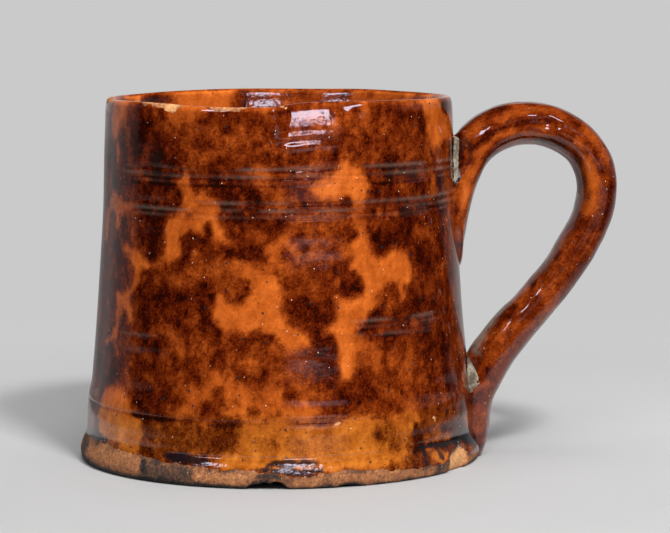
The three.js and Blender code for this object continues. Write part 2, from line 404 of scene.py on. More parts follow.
def add_lamp(name, azimuth, elevation, distance, width, height, power):
    lamp = bpy.data.lights.new(name, "AREA")
    lamp.shape = "RECTANGLE"
    lamp.size = width
    lamp.size_y = height
    lamp.energy = power
    holder = bpy.data.objects.new(name, lamp)
    turn = math.radians(azimuth)
    rise = math.radians(elevation)
    aim = Vector((math.sin(turn) * math.cos(rise), -math.cos(turn) * math.cos(rise), math.sin(rise)))
    holder.rotation_mode = "QUATERNION"
    holder.rotation_quaternion = aim.to_track_quat("Z", "Y")
    holder.location = LAMP_TARGET + aim * distance
    holder.visible_glossy = False
    bpy.context.scene.collection.objects.link(holder)


# Finishing a piece


def mesh_of(bm, name):
    mesh = bpy.data.meshes.new(name)
    bm.to_mesh(mesh)
    bm.free()
    return mesh


def places(mesh):
    spots = np.zeros(len(mesh.vertices) * 3)
    mesh.vertices.foreach_get("co", spots)
    return spots.reshape(-1, 3)


def give_attributes(mesh, painted):
    """One number for each vertex under each name, for the material to read."""
    for name, values in painted.items():
        layer = mesh.attributes.new(name, "FLOAT", "POINT")
        layer.data.foreach_set("value", np.asarray(values, np.float32))


def finish_piece(name, mesh, spots, material, slot, *nodes):
    """The piece from its mesh, with its vertices' places in millimetres."""
    mesh.vertices.foreach_set("co", (spots * MM).astype(np.float32).ravel())
    mesh.update()
    mesh.shade_smooth()
    mesh.set_sharp_from_angle(angle=math.radians(50))
    piece = bpy.data.objects.new(name, mesh)
    bpy.context.scene.collection.objects.link(piece)
    mesh.materials.clear()
    mesh.materials.append(material)
    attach(piece, BODY)
    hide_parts(*nodes)


# Painting with outlines and chains of round spots

# How far outside its points the soft, ragged edge of a blot can reach
EDGE_REACH = 14


def near_points(across, up, points):
    """Which places lie near a list of points."""
    near = True
    for value, k in ((across, 0), (up, 1)):
        ends = [p[k] for p in points]
        near = near & (value > min(ends) - EDGE_REACH) & (value < max(ends) + EDGE_REACH)
    return np.flatnonzero(near)


def off_line(across, up, start, end):
    """Share of the way along a line and distance from it."""
    run = end[0] - start[0]
    rise = end[1] - start[1]
    share = np.clip(((across - start[0]) * run + (up - start[1]) * rise) / (run * run + rise * rise), 0, 1)
    return share, np.hypot(across - start[0] - share * run, up - start[1] - share * rise)


def off_blot(across, up, points):
    """Distance from a chain of round spots, negative inside it."""
    best = np.full(across.shape, np.inf)
    for start, end in zip(points, points[1:]):
        share, distance = off_line(across, up, start, end)
        best = np.minimum(best, distance - start[2] - share * (end[2] - start[2]))
    return best


def off_outline(across, up, points):
    """Distance from a closed outline, negative inside it."""
    best = np.full(across.shape, np.inf)
    inside = np.zeros(across.shape, bool)
    for start, end in zip(points, points[1:] + points[:1]):
        best = np.minimum(best, off_line(across, up, start, end)[1])
        if start[1] != end[1]:
            crossing = start[0] + (up - start[1]) * (end[0] - start[0]) / (end[1] - start[1])
            inside ^= ((start[1] > up) != (end[1] > up)) & (across < crossing)
    return np.where(inside, -best, best)


def dab(tone, across, up, ragged, points, value, soft, strength=1, distance=off_blot):
    """Moves the tone towards a value inside a chain of spots or an outline."""
    near = near_points(across, up, points)
    off = distance(across[near], up[near], points) + ragged[near]
    share = strength * (1 - soft_step(-soft / 2, soft / 2, off))
    goal = np.broadcast_to(value, tone.shape)[near]
    tone[near] += (goal - tone[near]) * share


def dab_blots(tone, across, up, ragged, blots, strength=1, softer=1, mottle=0):
    """Dabs on the blots of a table: tone, softness, then the spots as two coordinates and a radius."""
    for value, soft, *points in blots:
        dab(tone, across, up, ragged, points, value + mottle, softer * soft, strength)


def patches(blots, across, up, ragged, level=1):
    """A level inside the blots of a table, which hold no tone, and 0 outside them."""
    shown = 0 * across
    for soft, *points in blots:
        dab(shown, across, up, ragged, points, level, soft)
    return shown


# The pot's section

# Outside of the wall: height and radius
WALL_LINE = (
    (0.6, 61), (1.6, 61.3), (3.4, 61.4), (5.5, 60.75), (7.4, 59.95), (9, 59.5), (11.7, 59.3), (16, 59.1),
    (18.2, 58.85), (20.7, 58.55), (23.2, 57.95), (29.2, 57.3), (39.2, 56.35), (45.2, 55.85), (54.2, 55.2),
    (64.3, 54.5), (73.3, 53.9), (79.3, 53.62), (89.3, 53.28), (99.3, 52.98), (106, 52.74),
)
LIP_TOP = 110
LIP_START = 106
LIP_INNER = 49.2
# The lip, from its outer to its inner side: radius and height
LIP_LINE = (
    (52.68, 107.2), (52.55, 108.3), (52.28, 109.3), (51.84, 109.85), (51.3, 110), (50.8, 109.8),
    (50.3, 109.2), (49.87, 108.4), (49.62, 107.2),
)
FLOOR_TOP = 7
# Rounded corner between the wall and the floor: radius, and the angles of its rings
CORNER_RADIUS = 9
CORNER_TURNS = (18, 36, 54, 72, 90)
# Inside of the wall: height and radius
INNER_LINE = (
    (16, 51.8), (30, 51.5), (50, 50.5), (70, 49.4), (90, 48.4), (97.6, 48), (102.4, 48.02), (104, 48.42),
    (106, 49.2),
)
# The underside and the edge that the mug stands on: radius and height
UNDERSIDE = ((0, 0), (20, 0), (40, 0), (52, 0), (57, 0), (59.2, 0), (60.2, 0.06), (60.75, 0.3))
# Radii of the rings on the floor inside
FLOOR_RINGS = (32, 20, 0)
# Rows of the mesh up the outside: from, to and distance
ROWS = (
    (0.9, 8, 0.5), (8, 10.6, 0.2), (10.6, 17, 0.8), (17, 22, 0.4), (22, 42, 0.85), (42, 49, 0.4),
    (49, 76.6, 0.85), (76.6, 94.4, 0.32), (94.4, 105.8, 0.62),
)
# Columns of the mesh round the pot, closer together at the front
COLUMNS = 396
FRONT = -90
FRONT_DENSITY = 0.45
# How far inside the outer wall a place still counts as outside
SKIN = 2.4

# Glaze pattern on the body

# Broad grounds of the glaze: tone, softness, then places as degrees from the handle, height and radius
GROUNDS = (
    (0.2, 8, (-164, 89.4, 16), (-159, 61.5, 14), (-157.3, 33.7, 12)),
    (0.2, 6, (-141.2, 99, 6), (-132.3, 97, 7), (-127.3, 89.1, 6), (-133.2, 83.2, 6), (-133.2, 69.4, 5)),
    (0.3, 7, (-132.4, 53.6, 9), (-121.5, 53.6, 7), (-117.5, 47.7, 7), (-127.4, 47.7, 8), (-133.4, 39.8, 6),
     (-131.4, 26, 7)),
    (0.42, 6, (-117.4, 102.8, 5), (-113.5, 101.8, 6), (-99.7, 100.7, 8), (-80, 99.7, 9), (-62.2, 100.8, 8),
     (-50.2, 98.9, 7)),
    (0.3, 6, (-111.5, 89, 4), (-103.6, 89, 5), (-102.6, 79.2, 5), (-97.7, 77.2, 4)),
    (0.46, 6, (-89.8, 88.9, 5), (-82, 77.2, 8), (-76.1, 69.3, 8), (-80, 63.4, 6)),
    (0.27, 7, (-55.2, 87, 7), (-42.3, 85.1, 7), (-45.3, 73.2, 7), (-36.4, 69.3, 8), (-30.2, 77.2, 6)),
    (0.28, 6, (-42.3, 51.5, 7), (-36.2, 43.5, 8), (-30.1, 51.4, 6), (-30.3, 29.6, 8), (-40.4, 27.7, 5)),
    (0.44, 6, (-103.7, 39.8, 5), (-96.8, 39.8, 5), (-89.9, 35.9, 5), (-111.6, 35.9, 5)),
    (0.42, 7, (-56.3, 36.8, 6), (-60.3, 27.9, 7), (-50.4, 25.8, 8), (-40.3, 21.8, 8)),
    (0.6, 6, (-117.5, 27, 4), (-107.7, 27.1, 6), (-97.8, 25.1, 6), (-86, 24.1, 5), (-82, 28, 3)),
    (0.62, 4, (-58.4, 14.1, 5.5), (-53.5, 14.1, 5.5), (-51.4, 18, 4)),
    (0.4, 2.5, (-130.3, 13.2, 4), (-123.4, 13.2, 4.2), (-115.5, 13.3, 4.4), (-107.6, 13.5, 4.6)),
)
# Light figures where the clay shows through: tone, then the outline as degrees from the handle and height.
# Towards the left the figures get lower tones, partly their own and partly painted shade for the side that
# turns from the lamps
FIGURES = (
    (0.84, (-158.8, 110.3), (-161.4, 105.2), (-160.1, 100.7), (-157.6, 98.8), (-155.7, 98.2),
     (-155.1, 94.2), (-154.3, 91.9), (-153.1, 91.8), (-153.1, 95.2), (-154.1, 98.7), (-154, 101.2),
     (-152.7, 102.7), (-151, 105.1), (-147.9, 110.1)),
    (0.84, (-165.3, 68.5), (-165.9, 72.5), (-165, 76), (-162.4, 78.4), (-160.5, 81.4), (-158.5, 83.4),
     (-156, 83.8), (-153.5, 82.3), (-150, 80.6), (-146.6, 79.7), (-144.1, 80.5), (-142.1, 80.2),
     (-143.3, 78.7), (-145.1, 77.9), (-148.6, 77.4), (-150.6, 76.4), (-151.6, 75.4), (-152.5, 72.4),
     (-153.6, 72.6), (-154, 75), (-155.5, 76.4), (-158, 77), (-160.3, 75.4), (-161, 72.9), (-160.4, 69.5),
     (-160.9, 67.5), (-163.4, 67)),
    (0.9, (-148.2, 66.9), (-146.5, 68.2), (-143.5, 67.7), (-140.1, 66.5), (-138.2, 65.1), (-135.7, 63.5),
     (-133.2, 63.1), (-130.7, 63.9), (-127.8, 64.5), (-127.8, 62.3), (-130.3, 62.1), (-133.7, 61.9),
     (-135.7, 61.1), (-137.8, 60.5), (-138.8, 58.9), (-139.4, 56.2), (-140.7, 54.6), (-142.5, 52.6),
     (-142.7, 50.2), (-141.5, 47.8), (-140, 45.7), (-140.8, 44.7), (-142.8, 46.1), (-144.3, 48.2),
     (-145.9, 48.8), (-147.3, 47.6), (-147.6, 45.2), (-148.7, 42.7), (-148.9, 40.7), (-148.3, 38.3),
     (-147.3, 35.7), (-148.3, 35.3), (-149.9, 37.3), (-151.7, 38.5), (-154.3, 38.5), (-157.3, 37.2),
     (-157.9, 38), (-155.3, 39.6), (-152.8, 41.4), (-151, 44), (-150.2, 47), (-150.3, 49.6), (-151.7, 51.6),
     (-152.5, 53.4), (-150.8, 54.2), (-148.3, 53.6), (-145.6, 54.2), (-143.4, 55.6), (-141.8, 57.2),
     (-141.6, 59.1), (-142.1, 61.5), (-144.1, 63.9), (-146.7, 65.1)),
    (0.9, (-156.8, 16.8), (-157.7, 12.8), (-157.2, 10.8), (-154.3, 9.4), (-149.3, 9.3), (-145.4, 9.2),
     (-142, 8.6), (-139.5, 7.9), (-136.7, 7.3), (-133.7, 6.9), (-133.1, 10.2), (-133.5, 14.1),
     (-133.9, 17.7), (-136.3, 18.6), (-138.3, 20.4), (-140, 22.9), (-142.3, 24.9), (-146.2, 25.6),
     (-149.3, 26.2), (-152.2, 25.8), (-154.8, 24.4), (-156.4, 21.2), (-156.2, 18.8)),
    (0.95, (-120.8, 94), (-120, 91.6), (-118.8, 89), (-118.2, 86.7), (-116.8, 84.7), (-113.5, 83.9),
     (-111.1, 82.9), (-109.2, 80.6), (-109.2, 77.6), (-108.6, 75.2), (-107.2, 73.3), (-105.6, 71.3),
     (-104.4, 69.3), (-106, 69.4), (-108, 70.1), (-109.7, 71.3), (-110.7, 73.3), (-111.9, 75.6),
     (-113.3, 76), (-113.9, 74.3), (-113.5, 72.3), (-115.5, 71.9), (-117.4, 72.7), (-119.4, 72.3),
     (-121, 71.7), (-122.3, 71.2), (-122.5, 69.2), (-121.8, 67.4), (-122.4, 65.6), (-123.9, 64.5),
     (-125.9, 63.9), (-128.9, 64.5), (-129.3, 65.5), (-127.9, 67), (-127.7, 69.4), (-128.3, 72),
     (-128.3, 74.9), (-127.5, 77.3), (-125.7, 78.3), (-122.8, 78.2), (-121, 79.2), (-120.8, 81.6),
     (-121.8, 83.7), (-122.9, 85.7), (-123.7, 87.3), (-122.8, 88.7), (-121.8, 90.4), (-121.4, 92.4)),
    (0.97, (-104.4, 65.4), (-101.3, 65.8), (-98.7, 64.8), (-96.2, 63.8), (-93.4, 62.5), (-91.1, 60.9),
     (-89.7, 58.1), (-89.5, 55), (-90.1, 52.2), (-89.7, 49.7), (-88.1, 47.7), (-85.9, 46.1), (-83.4, 44.3),
     (-81.4, 43.6), (-80.6, 42.2), (-82.2, 40.4), (-84.6, 39.2), (-87, 38.9), (-88.7, 40), (-90.3, 42),
     (-91.3, 44), (-93.7, 45.1), (-96.8, 45.3), (-99.8, 44.8), (-103.3, 44.4), (-106.3, 45.4),
     (-108.1, 46.7), (-110, 47.9), (-110.4, 50.3), (-109.6, 52.6), (-109, 55.2), (-107.2, 55.6),
     (-105.7, 54), (-103.5, 52.4), (-101.1, 53.2), (-99.3, 55.6), (-99.1, 58.1), (-100.5, 60.3),
     (-102.7, 61.9), (-105.2, 62.9)),
    (1, (-80, 86.6), (-79.6, 84.2), (-77.4, 83), (-74.1, 83.1), (-71.7, 82.1), (-69.5, 82.9), (-67.7, 83.1),
     (-66.8, 81.5), (-66.2, 79.5), (-66, 77.2), (-65.4, 74.6), (-64.8, 72.6), (-65.8, 70.7), (-67, 68.9),
     (-67, 66.4), (-67.8, 64.4), (-69.8, 63.3), (-69.4, 62), (-67, 61.8), (-65.2, 60.4), (-64.2, 58.5),
     (-63.6, 56.5), (-64.2, 54.7), (-66.2, 53.7), (-69.2, 53.6), (-71.1, 54.5), (-73.1, 55.3),
     (-75.1, 55.5), (-75.5, 54.6), (-73.7, 53.4), (-72.9, 51.6), (-72.9, 49.4), (-73.7, 47.7),
     (-75.1, 46.5), (-74.9, 45.3), (-73.5, 44.1), (-73.1, 41.8), (-72.9, 38.8), (-72.5, 35.9),
     (-71.6, 33.5), (-70.2, 31.5), (-68.8, 31.3), (-68, 32.9), (-68, 35.8), (-67.4, 38.8), (-66.8, 41.7),
     (-66, 44.3), (-64.2, 46.3), (-62.6, 48.2), (-60.8, 50), (-59.8, 52.5), (-58.7, 54.9), (-56.3, 56.7),
     (-53.7, 57.5), (-51.3, 57.1), (-50.9, 54.9), (-49.9, 54.3), (-48.9, 56.1), (-47.3, 57.8), (-46, 60),
     (-45.4, 62.8), (-46.4, 65.4), (-49, 67.1), (-51.2, 68.1), (-53.3, 66.9), (-55.9, 65.6), (-58.3, 65.4),
     (-60.3, 66.7), (-61.3, 69.3), (-61.8, 71.7), (-62.8, 73.6), (-63.4, 76.2), (-63.6, 79.1),
     (-62.8, 81.5), (-61.6, 83.7), (-61.2, 86.4), (-62, 89.4), (-64, 91.5), (-66.5, 92.9), (-69.7, 92.3),
     (-72.9, 90.3), (-76.6, 89.3), (-79, 88.6)),
    (0.9, (-39.8, 109.9), (-36.9, 106.9), (-35.4, 104.3), (-34.9, 100.6), (-34.1, 97.8), (-31, 96.4),
     (-28, 95.9), (-24.9, 96.7), (-20.5, 98.3), (-16.1, 98.1), (-11.3, 96.1), (-9.8, 103.1), (-16.2, 104.7),
     (-20.2, 105.1), (-23.8, 106.6), (-26.5, 110.1)),
    (0.74, (-33.2, 86.7), (-32.3, 89.1), (-30.5, 89.5), (-29.9, 86.7), (-30.1, 84.6), (-28.1, 83.2),
     (-28.7, 82), (-31.8, 82), (-33.4, 83.6)),
    (0.9, (-102.1, 10.4), (-101.3, 14.3), (-102.7, 17.3), (-99.8, 18.8), (-93.9, 19.2), (-88, 18.6),
     (-82.1, 18.2), (-76.1, 18.2), (-72.2, 19.2), (-68.2, 20.5), (-64.3, 20.7), (-62.3, 19.7),
     (-61.9, 17.1), (-63.3, 14.2), (-62.3, 11.2), (-58.4, 9.8), (-52.4, 9.5), (-50.2, 7.6), (-60.2, 4.8),
     (-75.1, 4.8), (-90, 5.4), (-97.9, 4.9), (-105.8, 5.4), (-109.7, 8.6), (-105.7, 9.8)),
    (0.74, (-128.2, 109.9), (-128.1, 106.4), (-125.7, 104.4), (-123.9, 103.6), (-121.9, 104.6),
     (-118.3, 106.1), (-113.3, 107.3), (-111, 109.7)),
)
# Smaller blots, light and dark, in the same form as the grounds
BLOTS = (
    (0.62, 2.4, (-117.4, 62.1, 2.4), (-112.5, 61.5, 2.8), (-107.6, 63.5, 2.4), (-103.7, 62.9, 1.6)),
    (0.54, 3, (-124.3, 58.9, 1.8), (-118.5, 59.1, 1.6)),
    (0.62, 2, (-65, 80.1, 1.8), (-64.6, 76.6, 1.8)),
    (0.72, 1.2, (-49.5, 55.9, 0.8), (-50.1, 51.1, 0.6)),
    (0.68, 2.4, (-66.2, 41.3, 1.6), (-63.6, 37.8, 2), (-64.2, 34.8, 1.4)),
    (0.7, 1.5, (-116.8, 66.8, 1.1), (-115.1, 66.6, 0.8)),
    (0.62, 1.2, (-139, 93.5, 0.6), (-138.6, 92.1, 0.8)),
    (0.6, 1, (-142.1, 90.2, 0.4), (-137.8, 90.1, 0.5)),
    (0.66, 1, (-138.6, 87.6, 0.7), (-134.8, 87.6, 0.5)),
    (0.8, 1.6, (-92.8, 68.9, 1.8), (-91.4, 67, 1.9), (-92.8, 64.2, 1.4), (-93.4, 61.5, 1.4)),
    (0.76, 1.6, (-88.9, 70.7, 1.6), (-85.9, 68.3, 1.5), (-85, 65.4, 0.9)),
    (0.74, 1.6, (-89.5, 64.4, 1.4), (-86.5, 62.8, 1.2), (-89.3, 60.1, 1)),
    (0.64, 2, (-96.3, 91.9, 1.8), (-95.8, 88, 2.4)),
    (0.66, 2, (-89.5, 82.7, 1.6), (-84.9, 82.5, 1.4)),
    (0.6, 2, (-97.7, 72.9, 1.8), (-95.4, 71.7, 1.8)),
    (0.66, 1.8, (-106.6, 100.8, 1.2), (-104.2, 99.8, 1)),
    (0.78, 1.2, (-100.8, 36.3, 0.7), (-97.2, 36.7, 1.1)),
    (0.74, 1.4, (-108.6, 31.4, 1), (-105.3, 29.8, 1.2)),
    (0.62, 2.2, (-130.4, 42.7, 1.2), (-125.5, 44.2, 1.5), (-121.5, 41.8, 1.2), (-119.5, 37.9, 1.6)),
    (0.6, 1.6, (-133.7, 30.5, 1.1), (-131, 29.3, 1)),
    (0.74, 2.2, (-120.5, 20.1, 1.2), (-117.6, 22.1, 1.6), (-114.6, 24.1, 1.6), (-111.6, 27.1, 1.6),
     (-109.6, 30, 1.6)),
    (0.76, 2.2, (-101.7, 28.1, 1.4), (-97.8, 26.1, 2), (-94.9, 23.1, 1.8), (-96.8, 19.2, 1.6)),
    (0.76, 2, (-92.9, 28.1, 1.2), (-90.9, 24.1, 1.6), (-88, 22.1, 1.6), (-84, 22.1, 1.6),
     (-80.1, 22.6, 1.2)),
    (0.7, 1.8, (-91.9, 32, 1.2), (-87, 32.4, 1.6), (-85, 29.6, 1.2)),
    (0.78, 1.6, (-80.5, 27, 1.2), (-78.1, 26.3, 1)),
    (0.7, 2.2, (-65.8, 41.7, 2.2), (-63.2, 38.2, 2.8), (-60.7, 33.8, 2)),
    (0.62, 1.8, (-46.7, 38.7, 1), (-47.7, 34.7, 2), (-51, 31.4, 1.6), (-50, 26.8, 1.8)),
    (0.62, 2, (-57.7, 26.9, 1.6), (-53.3, 23.9, 2), (-47.9, 21.9, 2)),
    (0.58, 2, (-41.7, 71.3, 1.1), (-36.3, 71.3, 1.8), (-32.3, 67.3, 1.4)),
    (0.56, 1.6, (-53.3, 78.2, 1.4), (-50.9, 77.8, 1)),
    (0.04, 2.4, (-141.5, 102, 1.6), (-140.8, 97.1, 2.2), (-138.6, 94.7, 1.2)),
    (0.05, 1, (-137, 18.9, 0.5), (-130, 18.7, 0.9), (-123.5, 18.4, 0.5)),
    (0.92, 1, (-42.6, 5.6, 1.2), (-36.5, 5.2, 1.4)),
    (0.8, 1, (-33.6, 8.2, 0.4), (-31.4, 10.2, 0.4)),
    (0.06, 2.6, (-131.9, 75.3, 2), (-132.2, 69.4, 2.6), (-132.8, 65.5, 1.6)),
    (0.1, 2, (-123.9, 93.4, 0.8), (-130.3, 92.8, 1.2), (-135.2, 92.9, 0.6)),
    (0.1, 2, (-122.9, 84.1, 1), (-125.3, 80.2, 1.4)),
    (0.1, 1.2, (-119.6, 77.8, 0.8), (-119.8, 77.2, 0.5)),
    (0.18, 1.4, (-112.5, 75.3, 0.6), (-112.1, 72.9, 0.9)),
    (0.3, 2.4, (-119.4, 69.4, 1.2), (-115.4, 70.4, 1.4), (-112.1, 68.4, 1.8)),
    (0.12, 2.4, (-106.6, 80.5, 1.2), (-103.6, 78.2, 1.5), (-99.7, 76.6, 1.6), (-96.4, 76.6, 1.4)),
    (0.12, 2.4, (-105.6, 68.4, 0.8), (-101.3, 67.6, 1.5), (-97.3, 67.2, 1.2)),
    (0.16, 2.4, (-92.2, 74.8, 1.6), (-89.3, 76.2, 1.2)),
    (0.14, 1.8, (-83.4, 73.2, 0.9), (-82.4, 68.7, 1)),
    (0.16, 1.6, (-83.1, 84.6, 0.8), (-82.8, 83.1, 0.6)),
    (0.14, 2.4, (-94.2, 96.8, 1), (-93.8, 94.4, 0.8)),
    (0.1, 1.4, (-72.5, 95.8, 0.7), (-71.9, 94.3, 0.5)),
    (0.44, 3, (-108.6, 58.3, 1.4), (-104.3, 58.5, 2), (-101.5, 57.2, 1.4)),
    (0.2, 1.6, (-105.7, 54, 1), (-104.3, 53.6, 0.8)),
    (0.38, 3, (-85, 58.1, 3.4), (-80, 59.1, 3.6), (-76.5, 57.5, 2.4), (-80, 62.4, 2)),
    (0.16, 3, (-85.9, 52, 2.6), (-82, 50.2, 3.4), (-77.5, 49.6, 3.2), (-76.1, 53, 2.2)),
    (0.36, 2.6, (-80, 60.1, 2.6), (-77.1, 58.1, 2.4)),
    (0.06, 1.4, (-70.6, 57.3, 1.6), (-67.2, 57.3, 2), (-65.6, 59.3, 0.8)),
    (0.2, 1.8, (-79, 43, 1.2), (-76.1, 41.2, 2.2), (-77.1, 35.9, 2.8), (-75.5, 31.9, 2.4)),
    (0.34, 2.6, (-82, 36.9, 2.6), (-86, 36.3, 1.6)),
    (0.24, 2.4, (-74.1, 29, 1.8), (-72.2, 26, 2.2)),
    (0.16, 1.8, (-68.9, 81.7, 0.8), (-68.5, 81.1, 0.6)),
    (0.12, 2.4, (-96.4, 31, 1.6), (-94.4, 33.6, 1)),
    (0.14, 2.4, (-115.9, 33.3, 1.4), (-114.6, 29.6, 1.4)),
    (0.22, 1.8, (-108, 27.5, 0.9), (-106.7, 24.1, 1.1)),
    (0.22, 1.8, (-112.2, 23.7, 1), (-110.7, 22.7, 0.8)),
    (0.22, 1.6, (-98.2, 22, 0.9), (-96.8, 21.6, 0.8)),
    (0.16, 1.8, (-88.3, 26.7, 1.1), (-85.4, 26.1, 1)),
    (0.18, 2.4, (-74.1, 24.7, 0.9), (-67.8, 25, 1.8), (-61.9, 26, 1.8), (-64.3, 28.5, 1.4)),
    (0.34, 2, (-91.7, 13.5, 0.9), (-91.1, 11.4, 0.7)),
    (0.58, 2.4, (-94.9, 13.7, 1), (-93.9, 9.8, 0.8)),
    (0.6, 3, (-87.6, 14.9, 2), (-84.4, 11.2, 1.6)),
    (0.6, 2.4, (-79.7, 16.1, 1.4), (-76.1, 17.2, 1.2)),
    (0.66, 3, (-99.8, 16.9, 1.6), (-91.9, 17.9, 1.6), (-84, 18, 1.2)),
    (0.26, 2.2, (-110.2, 12.9, 1.4), (-106.1, 13.9, 1.6)),
    (0.2, 1.8, (-61.8, 14.9, 1), (-61, 13.7, 0.7)),
    (0.42, 1.8, (-57.4, 16.1, 1), (-55.8, 11.1, 1.2)),
    (0.16, 1.6, (-130.4, 19.1, 0.8), (-124.8, 18.5, 0.9), (-123.8, 17.8, 0.5)),
    (0.2, 2.6, (-135.3, 26.9, 1.6), (-127.4, 24, 2), (-121.5, 24.1, 1.4)),
    (0.03, 2.2, (-58.3, 70.9, 1.8), (-56.5, 68.9, 2.6), (-52.7, 70.9, 1.4)),
    (0.14, 2.2, (-48.3, 73.2, 1.4), (-46.8, 68.9, 1.2)),
    (0.16, 2.2, (-41.8, 63, 1.4), (-36.9, 61.4, 1.4)),
    (0.14, 2.2, (-50.9, 105.8, 1), (-43.3, 105.8, 1.6), (-38.8, 104.5, 1.5), (-37.2, 100.4, 1)),
    (0.06, 1.6, (-27.4, 86.8, 1.3), (-26.6, 83.8, 1.1)),
    (0.12, 2, (-27.5, 78.2, 1.5), (-27, 70.3, 1.5), (-27.8, 63.3, 1.5)),
    (0.1, 1.8, (-21.4, 107.7, 1.6), (-17.4, 108.1, 1.4)),
    (0.22, 1.8, (-63.2, 45.3, 0.9), (-60.2, 47.6, 1.1), (-56.8, 49.4, 0.9)),
    (0.54, 2.4, (-58.7, 53.9, 1.2), (-55.9, 55.5, 0.9), (-53.7, 52.5, 1.3), (-55.7, 50.2, 1.1)),
    (0.12, 2.4, (-52.3, 48.6, 1), (-45.3, 50.5, 1.8), (-40.2, 51.9, 1.6)),
    (0.2, 2, (-56.7, 38.7, 1.4), (-57.7, 36.4, 1)),
    (0.22, 2.6, (-43.3, 36.6, 1.6), (-38.3, 35.2, 1.8)),
    (0.24, 2, (-44.3, 22.8, 1.2), (-42, 24.4, 1)),
    (0.02, 1.4, (-48.1, 15.6, 1.1), (-47.3, 11.6, 1.5)),
    (0.06, 2, (-35.5, 13.4, 1.2), (-28.4, 12.7, 1.8), (-22.2, 11.5, 1.4)),
    (0, 1.2, (-48.3, 8.4, 0.9), (-42.4, 9.1, 0.9), (-35.3, 8.6, 0.9), (-30.9, 8.9, 0.5), (-26.2, 8.2, 1.3),
     (-19.9, 7.4, 1.5), (-14.6, 6.3, 0.9)),
)
# Turned lines: height, first and last angle, depth, width, and how strong the painted sheen above the line
# is, a pale band painted in for the floor's reflection
TURNED_LINES = (
    (91.1, -150, 176, 0.2, 1.3, 1),
    (88.9, -150, 176, 0.22, 1.3, 1),
    (86.9, -146, 176, 0.08, 1, 0.1),
    (81.2, -152, 176, 0.18, 1.3, 0.9),
    (79, -150, 176, 0.2, 1.3, 1),
    (77.2, -142, 176, 0.1, 1, 0.3),
    (46.8, -68, -36, 0.2, 1.2, 1.2),
    (45, -66, -34, 0.12, 0.9, 0.4),
    (42.8, -68, -38, 0.18, 1.2, 1.2),
    (41.5, -146, -124, 0.12, 1, 0.8),
    (37, -144, -126, 0.12, 1, 0.6),
    (18.9, -176, -62, 0.11, 0.9, 0.1),
)
# Height of the step at a line's lower edge, and the angles where lines are shallow behind the handle
LINE_STEP = 0.45
BEHIND_HANDLE = (-32, -20, 20, 34)
# Ripples over the foot: heights, their reach, depth, and first and last angle
RIPPLES = (8.3, 9.6)
RIPPLE_REACH = 0.45
RIPPLE_DEPTH = 0.13
RIPPLE_SPAN = (-124, -60)
# How far the lip rises and dips: angle and height
LIP_HEIGHTS = (
    (-180, -0.1), (-165, -0.2), (-150, 0), (-133, -0.1), (-117, -0.75), (-102, -0.85), (-90, -0.6),
    (-83, 0.15), (-76, 0.5), (-69, 0.6), (-62, 0.6), (-54, 0.55), (-46, 0.55), (-36, 0.35), (-22, 0.3),
    (0, 0.1), (40, 0), (60, 0.3), (75, 0.15), (90, 0.2), (105, 0.3), (120, 0.2), (135, 0), (150, -0.2),
    (165, -0.2), (180, -0.1),
)
# Heights over which the lip's rise sets in
LIP_BLEND = (80, 109)
# The wall leans in below the lip at the front: height and how far, and the angles between which it does
LEANING = (
    (90, 0), (97.2, 0), (98.2, 0.03), (99.4, 0.42), (101, 0.06), (102.2, 0.46), (103, 0.46), (104, 0.76),
    (105, 1.12), (106, 1.48), (107, 1.84), (108, 2.2), (109, 2.5), (112, 2.8),
)
LEANING_SPAN = (-92, -86, -70, -60)
# The lip swings in at the front: how far, its angles, and the heights over which it sets in
SWING = 1.2
SWING_SPAN = (-92, -85, -84, -68)
SWING_START = (97, 103)
# Notches in the edge that the mug stands on: angle, half width, depth, then the height and radii they reach
NOTCHES = ((-93.6, 5.2, 2.0), (-71, 3, 0.7))
NOTCH_TOP = 7
NOTCH_START = (52, 59)
# Chips broken out of the foot and the lip: the outline as angle and height
FOOT_CHIP = (
    (-35, 4.6), (-32.6, 5.9), (-30.2, 6.3), (-27.8, 7.2), (-25, 6.9), (-23.4, 5.2), (-23, 3), (-25, 0.3),
    (-29, -2.2), (-35.9, -1),
)
LIP_CHIP = ((-130, 112), (-128.6, 108), (-126.4, 107), (-124.6, 107.6), (-122.6, 112))
# Where the glaze ends above the foot: angle and height
GLAZE_END = (
    (-180, 8), (-163.6, 8.2), (-149.4, 8.2), (-141.6, 7.6), (-131.2, 7.1), (-123.7, 6.5), (-115.7, 6.1),
    (-106.8, 5.5), (-99, 5.3), (-95.5, 4.2), (-91, 3.7), (-85, 3.8), (-80, 4.2), (-74, 4.7), (-69.7, 4.9),
    (-62.3, 4.3), (-55.4, 3.7), (-48.6, 3.3), (-44.6, 3.5), (-42.3, 3.2), (-36.4, 3.9), (-33.2, 4.4),
    (-28.1, 5.8), (-24, 4.9), (-20.5, 3.2), (-15.5, 2.7), (-4.7, 2.8), (0, 4.2), (60, 6), (120, 7),
    (180, 8),
)
# How far down from its top the lip is worn bare, nowhere if negative: angle and how far
LIP_WEAR = (
    (-180, 0.6), (-172, 1.3), (-165, 0.9), (-159, -0.5), (-142, -0.4), (-139, 0.4), (-134, 0.7),
    (-130.5, 1.3), (-127.5, 2.1), (-125, 1.3), (-122.5, 0.1), (-114, -0.4), (-112, 0.3), (-101, 0.3),
    (-98.5, -0.4), (-91, -0.4), (-89.5, 0.4), (-84, 0.4), (-82, -0.5), (-60, -0.6), (20, -0.8), (165, -0.8),
    (174, 0.2), (180, 0.6),
)
# How far up the foot is black with soot: angle and height
SOOTY_EDGE = (
    (-180, 1.2), (-160, 2.2), (-150, 1.6), (-136, 1.2), (-120, 1.4), (-104, 0.6), (-80, 0.5), (-50, 0.4),
    (0, 0.8), (180, 1.2),
)
